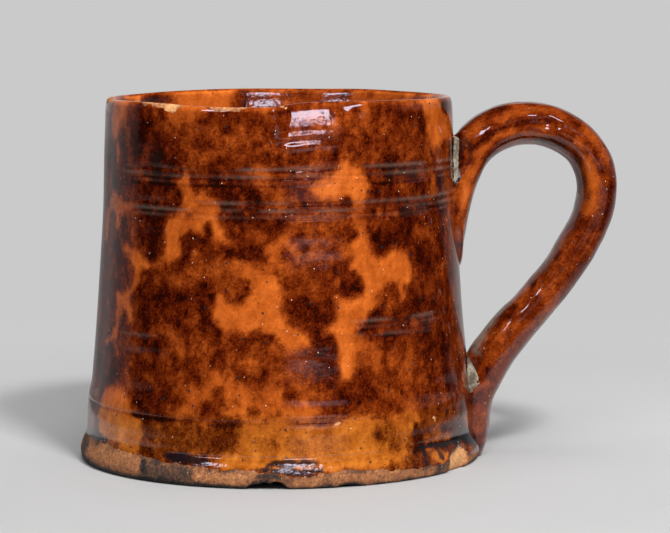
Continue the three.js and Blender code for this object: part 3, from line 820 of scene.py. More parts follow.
# Bare clay at the foot, from black soot (0) to a fresh break (1), in the same form as the grounds
CLAY_SPOTS = (
    (0.68, 2, (-159.8, 4.2, 2.4), (-149.5, 4.1, 3), (-141.3, 3.9, 3), (-134.3, 3.9, 2.6)),
    (0.04, 1, (-131.4, 5.8, 0.8), (-130.5, 3.7, 1.3)),
    (0.36, 2, (-128.2, 3.2, 2.2), (-121.4, 3.6, 2.4), (-116.5, 3.7, 2)),
    (0.74, 1, (-113.5, 3.1, 1.3), (-106.6, 3, 1.9), (-100.7, 3.2, 1.5)),
    (0.3, 1.6, (-95.8, 2.8, 1), (-90.4, 2.6, 1.1)),
    (0.72, 1.6, (-86, 1.8, 1.3), (-80, 1.9, 1.3)),
    (0.68, 2, (-74.3, 2.7, 1.6), (-66.4, 2.5, 1.7), (-56.6, 2.1, 1.6), (-48.8, 1.8, 1.4)),
)
# Places inside the lip at the back, in the same form
INSIDE_SPOTS = (
    (0.12, 2, (150, 106, 1.5), (143, 106.5, 2.4), (138, 106, 1.2)),
    (0.8, 3, (128, 107, 3), (118, 105, 4), (110, 107, 2)),
    (0.36, 2, (107, 106, 1.5), (104, 108, 1)),
    (0.5, 3, (84, 106, 2), (78, 107, 3), (70, 106, 2)),
    (0.25, 2, (97, 104.5, 2.4), (93, 104.5, 2.4)),
    (0.3, 2, (71, 106, 2), (67, 106, 2)),
    (0.7, 3, (60, 106, 3), (50, 107, 3), (40, 106, 3)),
    (0.3, 2, (158, 105, 2), (165, 107, 2)),
)
# Pools of blue-black glaze: softness, then places as degrees from the handle, height and radius
POOLS = (
    (1, (-167.3, 9.6, 1.4), (-159.3, 9.4, 1.6), (-151.4, 9.1, 1)),
    (1.2, (-124, 8, 1.1), (-115.7, 7.8, 1.5), (-111, 7.3, 1.1)),
    (1, (-93, 7.2, 0.8), (-88, 7.6, 1.3), (-80, 7.4, 0.8)),
    (0.8, (-96, 5.3, 0.6), (-90.5, 4.8, 1.1), (-84.5, 4.9, 1.1), (-79, 5.5, 0.7)),
    (0.8, (-46.3, 9.8, 0.5), (-45, 7.1, 0.8)),
    (0.7, (-46, 6.4, 0.6), (-45.6, 4.6, 0.8)),
    (0.7, (-39.2, 6.2, 0.7), (-38.4, 5.2, 0.9)),
    (1, (-19, 7.4, 1.6), (-12, 6.6, 2.2)),
    (1, (-46.5, 8.9, 0.5), (-38.3, 9, 0.7), (-32.3, 9.1, 0.8), (-27.3, 9.2, 1.5), (-17.9, 8.8, 1.8),
     (0.2, 7.1, 1.8)),
)
# Small flecks of bare clay in the glaze, in the same form as the pools
FLECKS = (
    (0.8, (-40, 17, 0.5), (-39.6, 16.5, 0.5)),
    (0.8, (-74.4, 18.2, 0.5), (-73.2, 18.5, 0.4)),
    (0.8, (-37.2, 20.6, 0.3), (-37, 20.8, 0.3)),
    (0.8, (-33, 15.8, 0.3), (-32.6, 16, 0.3)),
)
# Glaze roughened by burst bubbles, in the same form
PITTED = (
    (2, (-83.9, 102.7, 3), (-78, 101.7, 4), (-72.1, 102.7, 3)),
    (1.5, (-83.9, 89.4, 1.4), (-78, 89.4, 1.4)),
    (1, (-96, 5.2, 1.2), (-89, 5, 1.8), (-80, 5.3, 1.6), (-66.2, 5.3, 0.7), (-52.2, 4.5, 0.7)),
    (1.5, (-111.8, 6.6, 0.8), (-104.8, 6.4, 0.8)),
    (2, (-13, 96, 3), (-13, 86, 3)),
    (2, (-12, 32, 3), (-12, 22, 3)),
)


def body_profile():
    """Radius and height round the pot's section, from the middle of the underside to that of the floor."""
    outside = np.concatenate([np.arange(*band) for band in ROWS] + [[LIP_START]])
    inside = np.concatenate([np.linspace(105.6, 90, 16), np.linspace(84, FLOOR_TOP + CORNER_RADIUS, 8)])
    chain = [*UNDERSIDE, *zip(curve_through(WALL_LINE, outside), outside)]
    chain += [*LIP_LINE, *zip(curve_through(INNER_LINE, inside), inside)]
    corner = INNER_LINE[0][1] - CORNER_RADIUS
    for turn in np.radians(CORNER_TURNS):
        rise = CORNER_RADIUS * (1 - math.sin(turn))
        chain.append((corner + CORNER_RADIUS * math.cos(turn), FLOOR_TOP + rise))
    return chain + [(radius, FLOOR_TOP) for radius in FLOOR_RINGS]


def spin_pot():
    bm = bmesh.new()
    verts = [bm.verts.new((r, 0, z)) for r, z in body_profile()]
    edges = [bm.edges.new(pair) for pair in zip(verts, verts[1:])]
    bmesh.ops.spin(bm, geom=verts + edges, axis=(0, 0, 1), angle=math.tau, steps=COLUMNS, use_merge=True)
    axis = [v for v in bm.verts if math.hypot(v.co.x, v.co.y) < 0.01]
    bmesh.ops.remove_doubles(bm, verts=axis, dist=0.01)
    bmesh.ops.recalc_face_normals(bm, faces=bm.faces)
    return mesh_of(bm, "thrown_pot")


def round_axis(turn, radius, height):
    """Places from their angle, radius and height."""
    angle = np.radians(turn)
    return np.stack([radius * np.cos(angle), radius * np.sin(angle), height], 1)


def span_of(turn, first, last):
    """1 between two angles, fading out over a few degrees."""
    return within(turn, first - 3, first + 3, last - 3, last + 3)


def cut_lines(turn, height):
    """Depth of the turned lines: each slopes in from above and steps out again at its lower edge."""
    depth = 0 * turn
    for line, first, last, deep, wide, sheen in TURNED_LINES:
        above = height - line
        shape = np.where(above > 0, 1 - soft_step(0, wide, above), 1 + above / LINE_STEP)
        depth = np.maximum(depth, deep * span_of(turn, first, last) * np.clip(shape, 0, 1))
    return depth * (1 - 0.85 * within(turn, *BEHIND_HANDLE))


def wall_relief(turn, height, ideal):
    """How far the wall stands out from its smooth line: soft unevenness, turned lines and ripples."""
    uneven = 0.015 * clouds(ideal * (0.15, 0.15, 1), 2.4, 41) + 0.1 * clouds(ideal * (0.2, 0.2, 0.6), 9, 42)
    uneven = uneven * within(height, 9, 14, 104, 108)
    ripples = sum(bulge(height, middle, RIPPLE_REACH) for middle in RIPPLES)
    lines = cut_lines(turn, height + 0.25 * clouds(ideal, 18, 43))
    return uneven - lines + RIPPLE_DEPTH * ripples * span_of(turn, *RIPPLE_SPAN)


def notches(turn, radius, height, ideal):
    """How far the notches lift the edge that the mug stands on."""
    deep = sum(depth * np.exp(-np.abs((turn - middle) / half) ** 4) for middle, half, depth in NOTCHES)
    deep = deep * soft_step(*NOTCH_START, radius) * (1 + 0.25 * clouds(ideal, 1.6, 44))
    return deep * np.clip(1 - height / NOTCH_TOP, 0, 1)


def chip(turn, height, ideal, outline, seed, low, high):
    """1 inside the ragged outline of a chip."""
    return 1 - soft_step(low, high, off_outline(turn, height, outline) + 0.5 * lumps(ideal, 2, seed))


def paint_wall(turn, height, ideal):
    """How light the glaze is over the outside of the wall, from 0 to 1."""
    ragged = lumps(ideal, 3.2, 11, 4, 0.75)
    mottle = lumps(ideal * (1, 1, 0.8), 3.6, 31, 4, 0.75)
    drips = clouds(ideal * (1, 1, 0.3), 1.3, 36)
    broken = 0.55 + 1.1 * clouds(ideal * (0.3, 0.3, 1), 2.5, 37)
    tone = 0.36 + 0.1 * clouds(ideal, 12, 5)
    dab_blots(tone, turn, height, 3 * ragged, GROUNDS)
    tone += 0.56 * mottle + 0.05 * drips
    for value, *points in FIGURES:
        goal = 0.88 * value + 0.3 * mottle
        dab(tone, turn, height, 2.2 * ragged, points, goal, 2.6, distance=off_outline)
    dab_blots(tone, turn, height, 2.4 * ragged, BLOTS, 0.85, 1.5, 0.2 * mottle)
    for line, first, last, deep, wide, sheen in TURNED_LINES:
        dark = 1.1 * deep + 0.2 * (sheen < 0.2)
        tone -= dark * span_of(turn, first, last) * broken * bulge(height, line - 0.3, 0.45)
    return tone


def painted_sheen_bands(turn, height, ideal):
    """The painted sheen over each turned line: a pale band standing in for the floor's reflection, broken
    along its way, from 0 to 1.
    """
    sheen = 0 * turn
    broken = np.clip(0.45 + 1.3 * clouds(ideal * (0.3, 0.3, 1), 2.2, 38), 0, 1)
    for line, first, last, deep, wide, level in TURNED_LINES:
        band = bulge(height, line + 0.55, 0.5)
        sheen = np.maximum(sheen, level * span_of(turn, first, last) * broken * band)
    return sheen


def throw_pot(material):
    mesh = spin_pot()
    spots = places(mesh)
    level = spots[:, 2]
    radius = np.hypot(spots[:, 0], spots[:, 1])
    turn = np.degrees(np.arctan2(spots[:, 1], spots[:, 0]))
    turn = turn - FRONT_DENSITY * np.degrees(np.sin(np.radians(turn - FRONT)))
    turn = (turn + 180) % 360 - 180
    wall = curve_through(WALL_LINE, level)
    outside = radius > wall - SKIN
    # Places on the smooth wall, where all noise is read
    ideal = round_axis(turn, wall, level)

    # Relief of the wall, notches and chips, the lean below the lip, and the uneven lip
    radius = radius + np.where(outside, wall_relief(turn, level, ideal), 0)
    height = level + notches(turn, radius, level, ideal)
    foot_chip = chip(turn, height, ideal, FOOT_CHIP, 45, -1.4, 0.2) * outside
    lip_chip = chip(turn, height, ideal, LIP_CHIP, 47, -1.2, 0.3) * outside
    radius = radius - 1.1 * foot_chip - 0.15 * foot_chip * clouds(ideal, 1, 46) - 0.7 * lip_chip
    radius = radius - within(turn, *LEANING_SPAN) * curve_through(LEANING, height)
    radius = radius - SWING * within(turn, *SWING_SPAN) * soft_step(*SWING_START, height)
    height = height + curve_through(LIP_HEIGHTS, turn) * soft_step(*LIP_BLEND, height)

    # Tone of the glaze, outside and inside, paler on the lip
    on_lip = radius > LIP_INNER
    inner = 0.62 + 1.1 * lumps(ideal, 6, 51, 4)
    dab_blots(inner, turn, height, 2 * lumps(ideal, 3, 55), INSIDE_SPOTS, 0.9, 1.5)
    tone = np.where(outside, paint_wall(turn, level, ideal), inner)
    tone += 0.26 * soft_step(108.6, 109.7, level) * on_lip

    # Bare clay below the glaze, on the worn lip and in fresh chips
    speckle = lumps(ideal, 1.6, 61)
    bare = 1 - soft_step(-0.6, 0.6, level - curve_through(GLAZE_END, turn) + speckle)
    bare = bare * (outside | (height < 3))
    worn = 1 - soft_step(-0.5, 0.5, LIP_TOP - level - curve_through(LIP_WEAR, turn) + 0.9 * speckle)
    worn = worn * on_lip
    flecks = patches(FLECKS, turn, level, 0 * turn) * outside
    fresh = np.maximum(np.maximum(foot_chip, lip_chip), flecks)
    clay = 0.53 + 0.5 * lumps(ideal, 4, 71, 4)
    dab_blots(clay, turn, level, 1.2 * speckle, CLAY_SPOTS, 0.9)
    clay -= 0.5 * (1 - soft_step(-0.8, 0.8, level - curve_through(SOOTY_EDGE, turn) + 1.2 * speckle))
    clay = np.where(worn > 0.1, 0.76 + 0.3 * speckle, clay)
    clay += (0.95 - clay) * fresh

    painted = {
        "tone": tone,
        "bare": np.maximum(bare, np.maximum(fresh, worn)),
        "clay": clay,
        "pool": patches(POOLS, turn, level, 1.2 * speckle, 0.9) * outside,
        "amber": 0.85 * (1 - soft_step(15, 24, level + 3 * lumps(ideal, 8, 66))) * outside,
        "pitted": np.where(outside, patches(PITTED, turn, level, 0.8 * speckle), 0.55),
        # This attribute holds painted sheen on the wall: a pale band above each turned line standing in for
        # the floor's reflection
        "smear": 0.2 * painted_sheen_bands(turn, level, ideal) * outside,
    }
    give_attributes(mesh, painted)
    place = round_axis(turn, radius, height)
    finish_piece("thrown_pot", mesh, place, material, "body_glaze", "thrown_body")


# Glaze and clay

# Colours of the glaze, of the glaze near the foot, and of the bare clay, from the darkest to the palest
GLAZE_SHADES = (
    (0.0, (0.012, 0.002, 0.0006)),
    (0.1, (0.03, 0.0022, 0.0005)),
    (0.2, (0.062, 0.0055, 0.0007)),
    (0.3, (0.098, 0.0105, 0.0012)),
    (0.4, (0.142, 0.0185, 0.0020)),
    (0.5, (0.196, 0.029, 0.0034)),
    (0.6, (0.265, 0.045, 0.0056)),
    (0.7, (0.35, 0.064, 0.0078)),
    (0.8, (0.455, 0.09, 0.0105)),
    (0.9, (0.58, 0.124, 0.016)),
    (1.0, (0.70, 0.165, 0.022)),
)
AMBER_SHADES = (
    (0.0, (0.012, 0.003, 0.0008)),
    (0.2, (0.062, 0.008, 0.0009)),
    (0.4, (0.142, 0.027, 0.0026)),
    (0.6, (0.28, 0.066, 0.0066)),
    (0.8, (0.5, 0.14, 0.014)),
    (1.0, (0.78, 0.26, 0.034)),
)
CLAY_SHADES = (
    (0.0, (0.008, 0.007, 0.007)),
    (0.2, (0.03, 0.022, 0.018)),
    (0.4, (0.088, 0.05, 0.034)),
    (0.6, (0.27, 0.104, 0.046)),
    (0.8, (0.50, 0.208, 0.08)),
    (1.0, (0.78, 0.40, 0.17)),
)
DOT_SHADE = (0.03, 0.006, 0.002)
PIT_SHADE = (0.014, 0.022, 0.028)
POOL_SHADE = (0.006, 0.006, 0.009)
# Putty rubbed onto the handle, and on the wall a painted reflection of the floor over the turned lines
PUTTY_AND_SHEEN_SHADE = (0.3, 0.26, 0.2)
SPECK_SHADE = (0.8, 0.6, 0.45)
GRIT_SHADE = (0.8, 0.5, 0.27)
PUTTY_SHADES = ((0.32, (0.1, 0.08, 0.055)), (0.48, (0.33, 0.28, 0.21)), (0.66, (0.52, 0.47, 0.37)))
PUTTY_STAIN = (0.12, 0.085, 0.055)


def glassy_glaze(tree, place, coarse):
    """Mottled glaze with dark dots, pits, pools, putty smears, painted sheen over the turned lines, and
    specks.
    """
    fine = noise(tree, place, 1600, 3, 0.75)
    tone = attribute(tree, "tone")
    grain = (fine - 0.5) * 0.85 + (coarse - 0.5) * 0.75
    tone = tone + grain * (1 - tone.above(0.5, 0.85) * 0.6)
    pits = dots(tree, place, 260, 0.45, 0.7)
    specks = dots(tree, place, 400, 0.2, 0.5)
    smear = attribute(tree, "smear")
    pitted = attribute(tree, "pitted")
    color = tone.ramp(GLAZE_SHADES).under(
        (attribute(tree, "amber"), tone.ramp(AMBER_SHADES)),
        (dots(tree, place, 500, 0.22, 0.5), DOT_SHADE),
        (pits * 0.9, PIT_SHADE),
        (attribute(tree, "pool"), POOL_SHADE),
        # Putty on the handle, and painted sheen over the turned lines on the wall
        (smear, PUTTY_AND_SHEEN_SHADE),
        (specks, SPECK_SHADE),
    )
    rough = specks * 0.3 + smear * 0.6 + pitted * 0.12 + noise(tree, place, 300, 2) * 0.05 + 0.03
    wave = noise(tree, place, 240, 3, 0.55) * 0.6 - pits * 0.8 + pitted * noise(tree, place, 700, 2) * 3
    return principled(tree, color, rough, IOR=1.6, Normal=bump(tree, wave, 0.2, 0.0003))


def dry_clay(tree, place, coarse):
    """Bare, gritty clay."""
    grit = noise(tree, place, 1300, 4, 0.75)
    tone = attribute(tree, "clay") + (grit - 0.5) + (coarse - 0.5) * 0.5
    color = tone.ramp(CLAY_SHADES).under((dots(tree, place, 800, 0.22, 0.3) * 0.8, GRIT_SHADE))
    return principled(tree, color, 0.75, IOR=1.35, Normal=bump(tree, grit + coarse, 0.5, 0.0004))


def glaze_material():
    """Glaze over clay, with the clay bare where the attribute says so."""
    material, tree = new_material("mottled_glaze")
    place = tree.node("ShaderNodeTexCoord", output=3)
    coarse = noise(tree, place, 560, 4, 0.8)
    bare = (attribute(tree, "bare") + (coarse - 0.5) * 0.5).above(0.42, 0.58)
    shader = bare.between(glassy_glaze(tree, place, coarse), dry_clay(tree, place, coarse))
    tree.node("ShaderNodeOutputMaterial", None, {"Surface": shader})
    return material


def putty_material():
    material, tree = new_material("chalky_putty")
    place = tree.node("ShaderNodeTexCoord", output=3)
    grit = noise(tree, place, 1300, 4, 0.7)
    stains = noise(tree, place, 260, 2).above(0.46, 0.64) * 0.8
    color = grit.ramp(PUTTY_SHADES).under((stains, PUTTY_STAIN))
    shader = principled(tree, color, 0.85, Normal=bump(tree, grit, 0.6, 0.0004))
    tree.node("ShaderNodeOutputMaterial", None, {"Surface": shader})
    return material


# Handle, where a line or outline is seen from the side: distance from the pot's axis and height

# Sections from the joint at the lip round to the foot, each its outer and its inner edge
HANDLE_SECTIONS = (
    ((50.2, 96.7), (50.8, 59.3)), ((53.2, 97.9), (54.8, 57.8)), ((55.7, 100.5), (56.3, 65.3)),
    ((58.8, 103.2), (57.8, 73.8)), ((61.8, 105), (59.2, 79.8)), ((64.9, 106.4), (60.7, 84.1)),
    ((67.9, 107.3), (62.2, 87.6)), ((70.9, 107.9), (64.8, 90.8)), ((74.1, 108.1), (68.8, 93.4)),
    ((77.1, 108.1), (72.9, 94.8)), ((80.2, 107.7), (76.8, 95)), ((84.8, 106.5), (80.2, 94.5)),
    ((89.3, 104.5), (83.9, 93.1)), ((94.1, 101.3), (87.6, 90.5)), ((98.5, 96.5), (89.9, 87)),
    ((101.4, 91.4), (90.7, 84.1)), ((102.7, 85.8), (91, 81)), ((102.9, 79.9), (90.6, 77.9)),
    ((102, 74.3), (89.6, 74.3)), ((100.3, 69.3), (87.7, 70.5)), ((96.3, 61.2), (84.7, 65.3)),
    ((90.9, 52.8), (81.3, 59.5)), ((86, 46.5), (76.7, 53.9)), ((81.7, 41.2), (72.4, 48.9)),
    ((76.3, 34.6), (66.3, 42.8)), ((71.8, 28.7), (61.6, 37)), ((69.6, 24.9), (57.9, 32)),
    ((67.6, 21.2), (55.5, 26.7)), ((65.5, 17.1), (54.3, 21.1)), ((64.6, 12.7), (54.1, 15.7)),
    ((64.2, 8.2), (54.1, 10.3)), ((63.3, 3.8), (54.1, 5)), ((61.7, -0.5), (54.1, -0.5)),
)
# Half the strap's width: distance along it and half width
HALF_WIDTHS = ((0, 10.6), (20, 10.9), (60, 10.8), (90, 10.5), (130, 10.1), (170, 9.6))
# Valley along each side: distance along the strap, place from its middle (0) to its outer edge (1), depth
VALLEY = (
    (0, 0.5, 0), (8, 0.42, 0.6), (18, 0.14, 0.9), (34, 0.1, 0.7), (48, 0.2, 0.5), (64, 0.3, 0.3),
    (84, 0.1, 0.4), (100, -0.05, 0.7), (118, -0.05, 0.6), (134, -0.1, 0.2), (170, 0, 0),
)
VALLEY_REACH = 0.2
# Roundness of the section: through the strap, then sideways on its outer and on its inner half
THROUGH_POWER = 0.84
OUTER_POWER = 0.8
INNER_POWER = 1.15
# The hollow at the strap's end beside the wall, where the putty was pressed in
HOLLOW = (
    (49.1, 98.2), (53.1, 98.8), (55.5, 98.6), (57.5, 96.6), (58.3, 93.7), (57.7, 90.5), (55.7, 87.3),
    (53.5, 84.7), (49.1, 83.3),
)
HOLLOW_DEPTH = 1.5
# Finger marks on the sides of the strap: distance from the axis, height, radius and depth
DENTS = (
    (80.9, 101.8, 2.6, 0.9), (79, 52, 3, 0.5), (74.5, 47.5, 2.4, 0.5), (70.5, 41.5, 2.4, 0.5),
    (58.5, 91, 2, 0.5),
)
# Cuts that part the tail and the root from the strap, and the strap's end at the wall
TAIL_CREASE = ((54.3, 84.7), (59.1, 91.3))
TAIL_TOP = 91.4
TAIL_LEVEL = ((50, TAIL_TOP), (80, TAIL_TOP))
TAIL_SIDE = ((66, 120), (66, 50))
TAIL_BOTTOM = ((80, 50), (50, 50))
BREAK = ((61.5, 23.0), (68.5, 23.9))
ROOT_BOTTOM = ((80, 0.3), (40, 0.3))
ROOT_SIDE = ((70, 60), (70, 0))
STRAP_END = ((54.7, 86.3), (53.4, 97.4))
# Putty rubbed onto the strap above the lower joint: distance from the axis, height and radius
PUTTY_SMEAR = ((59.5, 32.3, 1.1), (62.5, 37.9, 0.8), (66.5, 43.5, 0.5), (69.7, 46.9, 0.1))
# Glaze on the handle: tone, softness, then places as distance from the pot's axis, height and radius
HANDLE_SPOTS = (
    (0.16, 1.5, (55.2, 98.5, 0.9), (57.6, 101.8, 1.1), (60.6, 104.5, 1.1), (64.2, 106.3, 0.9),
     (68.1, 107.5, 0.8)),
    (0.2, 1.5, (65.7, 105.4, 1.5), (69, 106, 1.5)),
    (0.3, 1.2, (77.5, 107.8, 0.9), (81.1, 107.5, 1.1)),
    (0.66, 1.5, (56.4, 97.8, 1.2), (58.3, 100, 1.2), (60.6, 101.8, 1.2)),
    (0.62, 1.5, (66.6, 103.6, 1.2), (72.7, 106, 1.2), (78.7, 106.6, 0.9), (84.8, 105.6, 1.2)),
    # Painted shade along the valley between the strap's two lobes
    (0.12, 0.9, (57.7, 94.3, 0.8), (60.1, 96, 0.8), (62.7, 98.4, 0.8), (65.7, 100.1, 0.8),
     (69.7, 101.3, 0.8), (73.3, 102, 0.7), (78.1, 102.3, 0.6)),
    (0.82, 1.2, (58.6, 92.5, 1.1), (61.3, 94.2, 1.1), (63.9, 96.3, 0.9), (66.6, 98.1, 1), (70, 99.5, 0.9)),
    (0.72, 1.2, (70, 99.5, 0.9), (74.2, 99.3, 1.1), (77.8, 98.7, 0.9)),
    (0.25, 1.2, (64.8, 96, 0.8), (67.2, 96.9, 0.9)),
    (0.3, 1.2, (72.4, 98.7, 0.7), (73, 100.2, 0.6)),
    (0.18, 1.2, (78.2, 96.3, 1.1), (81.8, 96.5, 1.2), (85.4, 95, 0.9)),
    (0.3, 1.2, (83.6, 99.6, 1.5), (87.8, 97.1, 1.5), (90.9, 93.8, 1.2)),
    (0.78, 1.8, (90, 95.9, 1.2), (93, 90.7, 1.5), (94.7, 85.3, 1.8), (95, 79.9, 1.8), (93.5, 75.6, 1.5)),
    (0.85, 1.2, (93.3, 89.2, 0.9), (94.7, 83.1, 1.1)),
    (0.2, 1.5, (89.7, 93.8, 0.9), (92.7, 93.2, 0.8)),
    (0.66, 1.5, (92.4, 100.5, 1.5), (96.3, 95.6, 1.2), (98.8, 90.7, 1.2)),
    (0.12, 1.2, (97.3, 88.6, 0.8), (97.7, 87.1, 0.6)),
    (0.14, 1.2, (100.7, 84.6, 0.6), (100.8, 78.5, 1.1), (99, 75, 1.2)),
    (0.26, 1.8, (89.6, 71.1, 1.5), (94.1, 70.1, 2.1), (97.8, 72, 1.8)),
    (0.2, 1.5, (86.8, 70.2, 0.9), (85, 67.1, 0.9), (82.6, 63.5, 0.9)),
    (0.42, 1.8, (95.4, 67.7, 1.8), (92.3, 62.8, 2.1), (88.7, 58, 2.1), (85.1, 53.1, 1.8)),
    (0.24, 1.8, (92.7, 59.8, 1.2), (89, 55.2, 1.2)),
    (0.5, 1.8, (88.7, 66.5, 1.2), (85.7, 61.6, 1.2), (82.6, 58, 1.2)),
    (0.1, 0.9, (85, 62.9, 0.7), (83.8, 61, 0.6)),
    (0.62, 1.5, (82.6, 53.4, 1.2), (80.5, 50, 1.5)),
    (0.1, 0.9, (77.8, 54.3, 0.7), (76.9, 52.5, 0.6)),
    (0.66, 1.5, (75.3, 50.7, 1.1), (73.2, 47.3, 0.9)),
    (0.3, 1.5, (79, 46.7, 1.5), (76.6, 43.9, 1.5)),
    (0.6, 1.5, (83.9, 49.4, 1.2), (81.4, 46.7, 1.1)),
    (0.5, 1.8, (75.1, 41.5, 1.8), (72.3, 37.8, 1.8), (69.3, 34.2, 1.8)),
    (0.16, 0.9, (71.1, 45.8, 0.8), (69.3, 42.1, 0.8)),
    (0.68, 1.2, (69, 40.6, 0.9), (66.9, 36.9, 1.1)),
    (0.58, 1.2, (66, 33.6, 1.2), (63.8, 29.9, 1.2)),
    (0.36, 1.5, (68.4, 29.3, 1.5), (66.3, 26.2, 1.2)),
    (0.22, 1.2, (60.2, 29.3, 0.9), (59.6, 26.2, 0.9)),
    (0.93, 1.5, (55.5, 84, 1.2), (56.5, 81.2, 1.5), (55.6, 77.3, 1.2)),
    (0.85, 1.5, (57.7, 87.9, 1.2), (56.5, 84.9, 1.2), (58, 83.1, 0.9)),
    (0.72, 1.8, (58.3, 86.1, 0.9), (60.1, 91, 0.9)),
    (0.6, 1.8, (55, 74.2, 1.1), (54.7, 69.1, 0.9)),
    # Painted shade in the hollow at the strap's end beside the wall
    (0.06, 0.9, (54.6, 97.5, 0.9), (54.9, 94, 1.1), (54.6, 89.5, 0.9)),
    (0.6, 1.2, (57.7, 18.9, 0.9), (59.6, 21.3, 0.9), (62.6, 22.8, 0.9)),
    (0.12, 0.9, (58.4, 19.5, 0.5), (59, 17.5, 0.5)),
    (0.3, 1.5, (62, 18.7, 1.2), (63.2, 21.3, 0.9)),
    (0.5, 1.8, (59.7, 14.4, 1.5), (60.3, 10.1, 1.5)),
    (0.2, 1.2, (57.9, 5.2, 0.9), (60.9, 6.4, 0.9), (63.1, 7.3, 0.8)),
    (0.08, 0.9, (58.5, 3.4, 0.9), (60.9, 3.3, 0.9)),
)
TUBE_SIDES = 96
TUBE_STEPS = 380
# Putty in the joints: reach to each side, then corners seen from the side, from the low one at the wall
UPPER_PUTTY = (9.5, ((52.6, 84.6), (53.9, 86), (54.3, 97.4), (52.6, 98)))
LOWER_PUTTY = (9.8, ((56.9, 19.9), (58.8, 20.3), (61.0, 23.6), (56.9, 31.2)))
PUTTY_CUTS = 23
# Radius of the wall that the putty follows
WALL_ROUND = 54


def section_lines():
    """Distance along the handle of each section and its four numbers."""
    ends = np.array(HANDLE_SECTIONS, float)
    steps = np.hypot(*np.moveaxis(np.diff(ends, axis=0), 2, 0)).mean(axis=1)
    way = np.concatenate([[0], np.cumsum(steps)])
    return way, ends.reshape(-1, 4)


def bent(turned, power):
    """A sine or cosine drawn towards or away from the ends of its range."""
    return np.sign(turned) * np.abs(turned) ** power


def close_holes(bm):
    bmesh.ops.holes_fill(bm, edges=[e for e in bm.edges if e.is_boundary], sides=0)


def pull_strap():
    """The whole handle as one closed tube, from inside the wall at the lip to inside the foot."""
    bm = bmesh.new()
    bmesh.ops.create_grid(bm, x_segments=TUBE_SIDES, y_segments=TUBE_STEPS, size=1)
    verts = np.array([v.co for v in bm.verts])
    way, ends = section_lines()
    along = (verts[:, 1] + 1) / 2 * way[-1]
    outer_x, outer_z, inner_x, inner_z = (curve_through(list(zip(way, edge)), along) for edge in ends.T)
    turn = math.pi * (verts[:, 0] + 1)
    across = bent(np.cos(turn), THROUGH_POWER)
    side = bent(np.sin(turn), np.where(np.cos(turn) > 0, OUTER_POWER, INNER_POWER))
    x = (outer_x + inner_x) / 2 + across * (outer_x - inner_x) / 2
    z = (outer_z + inner_z) / 2 + across * (outer_z - inner_z) / 2
    middle = curve_through([v[:2] for v in VALLEY], along)
    depth = curve_through([(v[0], v[2]) for v in VALLEY], along)
    reach = curve_through(HALF_WIDTHS, along) - depth * bulge(across, middle, VALLEY_REACH)
    reach = reach - HOLLOW_DEPTH * (1 - soft_step(-0.9, 0.3, off_outline(x, z, HOLLOW)))
    for dent_x, dent_z, wide, deep in DENTS:
        reach = reach - deep * np.exp(-((x - dent_x) ** 2 + (z - dent_z) ** 2) / wide**2)
    place = np.stack([x, reach * side, z], 1)
    away = np.stack([outer_x - inner_x, 0 * x, outer_z - inner_z], 1)
    away = away / np.linalg.norm(away, axis=1, keepdims=True) * across[:, None]
    away = away + np.stack([0 * x, side, 0 * x], 1)
    place += 0.2 * lumps(place, 6, 81)[:, None] * away
    for vert, spot in zip(bm.verts, place):
        vert.co = spot
    bmesh.ops.remove_doubles(bm, verts=bm.verts, dist=0.001)
    close_holes(bm)
    bmesh.ops.recalc_face_normals(bm, faces=bm.faces)
    return bm


def slice_off(bm, line, faces=None, clear=True):
    """Cuts along the plane through a line seen from the side, and clears what is to the line's left."""
    (x, z), (end_x, end_z) = line
    faces = bm.faces if faces is None else faces
    geom = set(faces)
    for face in faces:
        geom.update(face.edges)
        geom.update(face.verts)
    plane = {"plane_co": (x, 0, z), "plane_no": (z - end_z, 0, end_x - x)}
    bmesh.ops.bisect_plane(bm, geom=list(geom), dist=0.0001, clear_outer=clear, **plane)


def left_of(spot, line):
    (x, z), (end_x, end_z) = line
    return (end_x - x) * (spot.z - z) - (end_z - z) * (spot.x - x) > 0


def faces_near(bm, reach, bottom):
    """The faces within a distance of the axis and above a height."""
    return [f for f in bm.faces if f.calc_center_median().x < reach and f.calc_center_median().z > bottom]


def finish_clay(bm, name, material, *nodes):
    """A piece of the handle, closed and painted."""
    close_holes(bm)
    bmesh.ops.remove_doubles(bm, verts=bm.verts, dist=0.0005)
    bmesh.ops.recalc_face_normals(bm, faces=bm.faces)
    mesh = mesh_of(bm, name)
    spots = places(mesh)
    x = spots[:, 0]
    z = spots[:, 2]
    ragged = lumps(spots, 2.2, 95)
    tone = 0.4 + 0.42 * lumps(spots, 4.5, 91, 4)
    dab_blots(tone, x, z, 1.1 * ragged, HANDLE_SPOTS, 0.85, 1.7)
    smear = 0 * x
    dab(smear, x, z, 1.2 * ragged, PUTTY_SMEAR, 0.55, 1.4)
    unpainted = dict.fromkeys(("bare", "clay", "pool", "amber", "pitted"), 0 * x)
    give_attributes(mesh, {"tone": tone, "smear": smear, **unpainted})
    finish_piece(name, mesh, spots, material, "handle_glaze", *nodes)


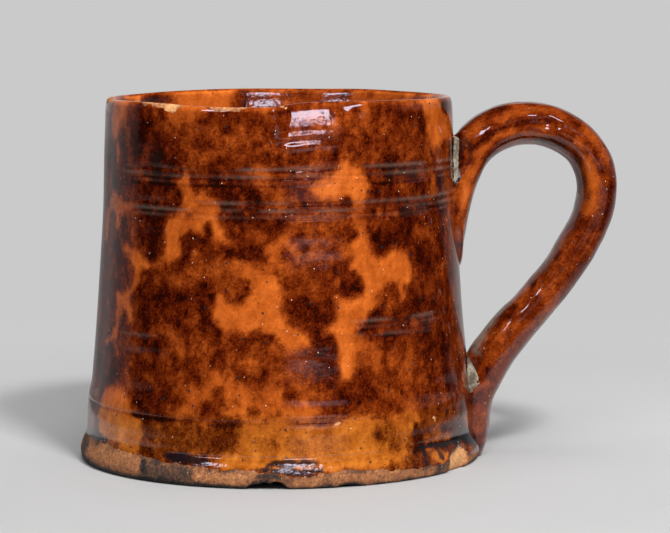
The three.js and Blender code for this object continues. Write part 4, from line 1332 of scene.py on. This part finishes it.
def make_handle(material):
    strap = pull_strap()
    tail = strap.copy()
    for line in (TAIL_LEVEL, TAIL_SIDE, TAIL_CREASE, TAIL_BOTTOM):
        slice_off(tail, line)
    finish_clay(tail, "upper_tail", material, "upper_terminal_tail")

    root = strap.copy()
    for line in (BREAK, ROOT_BOTTOM, ROOT_SIDE):
        slice_off(root, line)
    finish_clay(root, "lower_root", material, "lower_terminal")

    for line in (TAIL_LEVEL, TAIL_CREASE):
        slice_off(strap, line, faces_near(strap, 68, 50), False)
    cut = [
        f for f in faces_near(strap, 66, 50)
        if f.calc_center_median().z < TAIL_TOP and not left_of(f.calc_center_median(), TAIL_CREASE)
    ]
    bmesh.ops.delete(strap, geom=cut, context="FACES")
    close_holes(strap)
    slice_off(strap, BREAK[::-1])
    slice_off(strap, STRAP_END, faces_near(strap, 60, 80))
    finish_clay(strap, "strap", material, "handle_strap")


def press_putty(name, shape, material, *nodes):
    """Rough putty pressed into a joint."""
    reach, corners = shape
    bm = bmesh.new()
    bmesh.ops.create_cube(bm, size=2)
    bmesh.ops.subdivide_edges(bm, edges=bm.edges, cuts=PUTTY_CUTS, use_grid_fill=True)
    mesh = mesh_of(bm, name)
    spots = places(mesh)
    u = (spots[:, :1] + 1) / 2
    v = (spots[:, 2:] + 1) / 2
    low_wall, low_outer, high_outer, high_wall = np.array(corners)
    flat = (1 - v) * ((1 - u) * low_wall + u * low_outer) + v * ((1 - u) * high_wall + u * high_outer)
    side = spots[:, 1] * reach
    sunk = WALL_ROUND - np.sqrt(WALL_ROUND**2 - side**2) - 0.9 * soft_step(6, 9.9, np.abs(side))
    place = np.stack([flat[:, 0] - (1 - u[:, 0]) * sunk, side, flat[:, 1]], 1)
    place = place + 0.45 * np.stack([lumps(place, 1.3, 101 + k, 4, 0.7) for k in range(3)], 1)
    finish_piece(name, mesh, place, material, "putty", *nodes)


place_camera()
bpy.context.scene.view_settings.view_transform = "Standard"
lay_floor()
hang_backdrop()
for lamp_name, lamp in LAMPS.items():
    add_lamp(lamp_name, *lamp)

glaze = glaze_material()
putty = putty_material()
throw_pot(glaze)
make_handle(glaze)
press_putty("upper_putty", UPPER_PUTTY, putty, "upper_joint_filler")
press_putty("lower_putty", LOWER_PUTTY, putty, "lower_joint_filler")
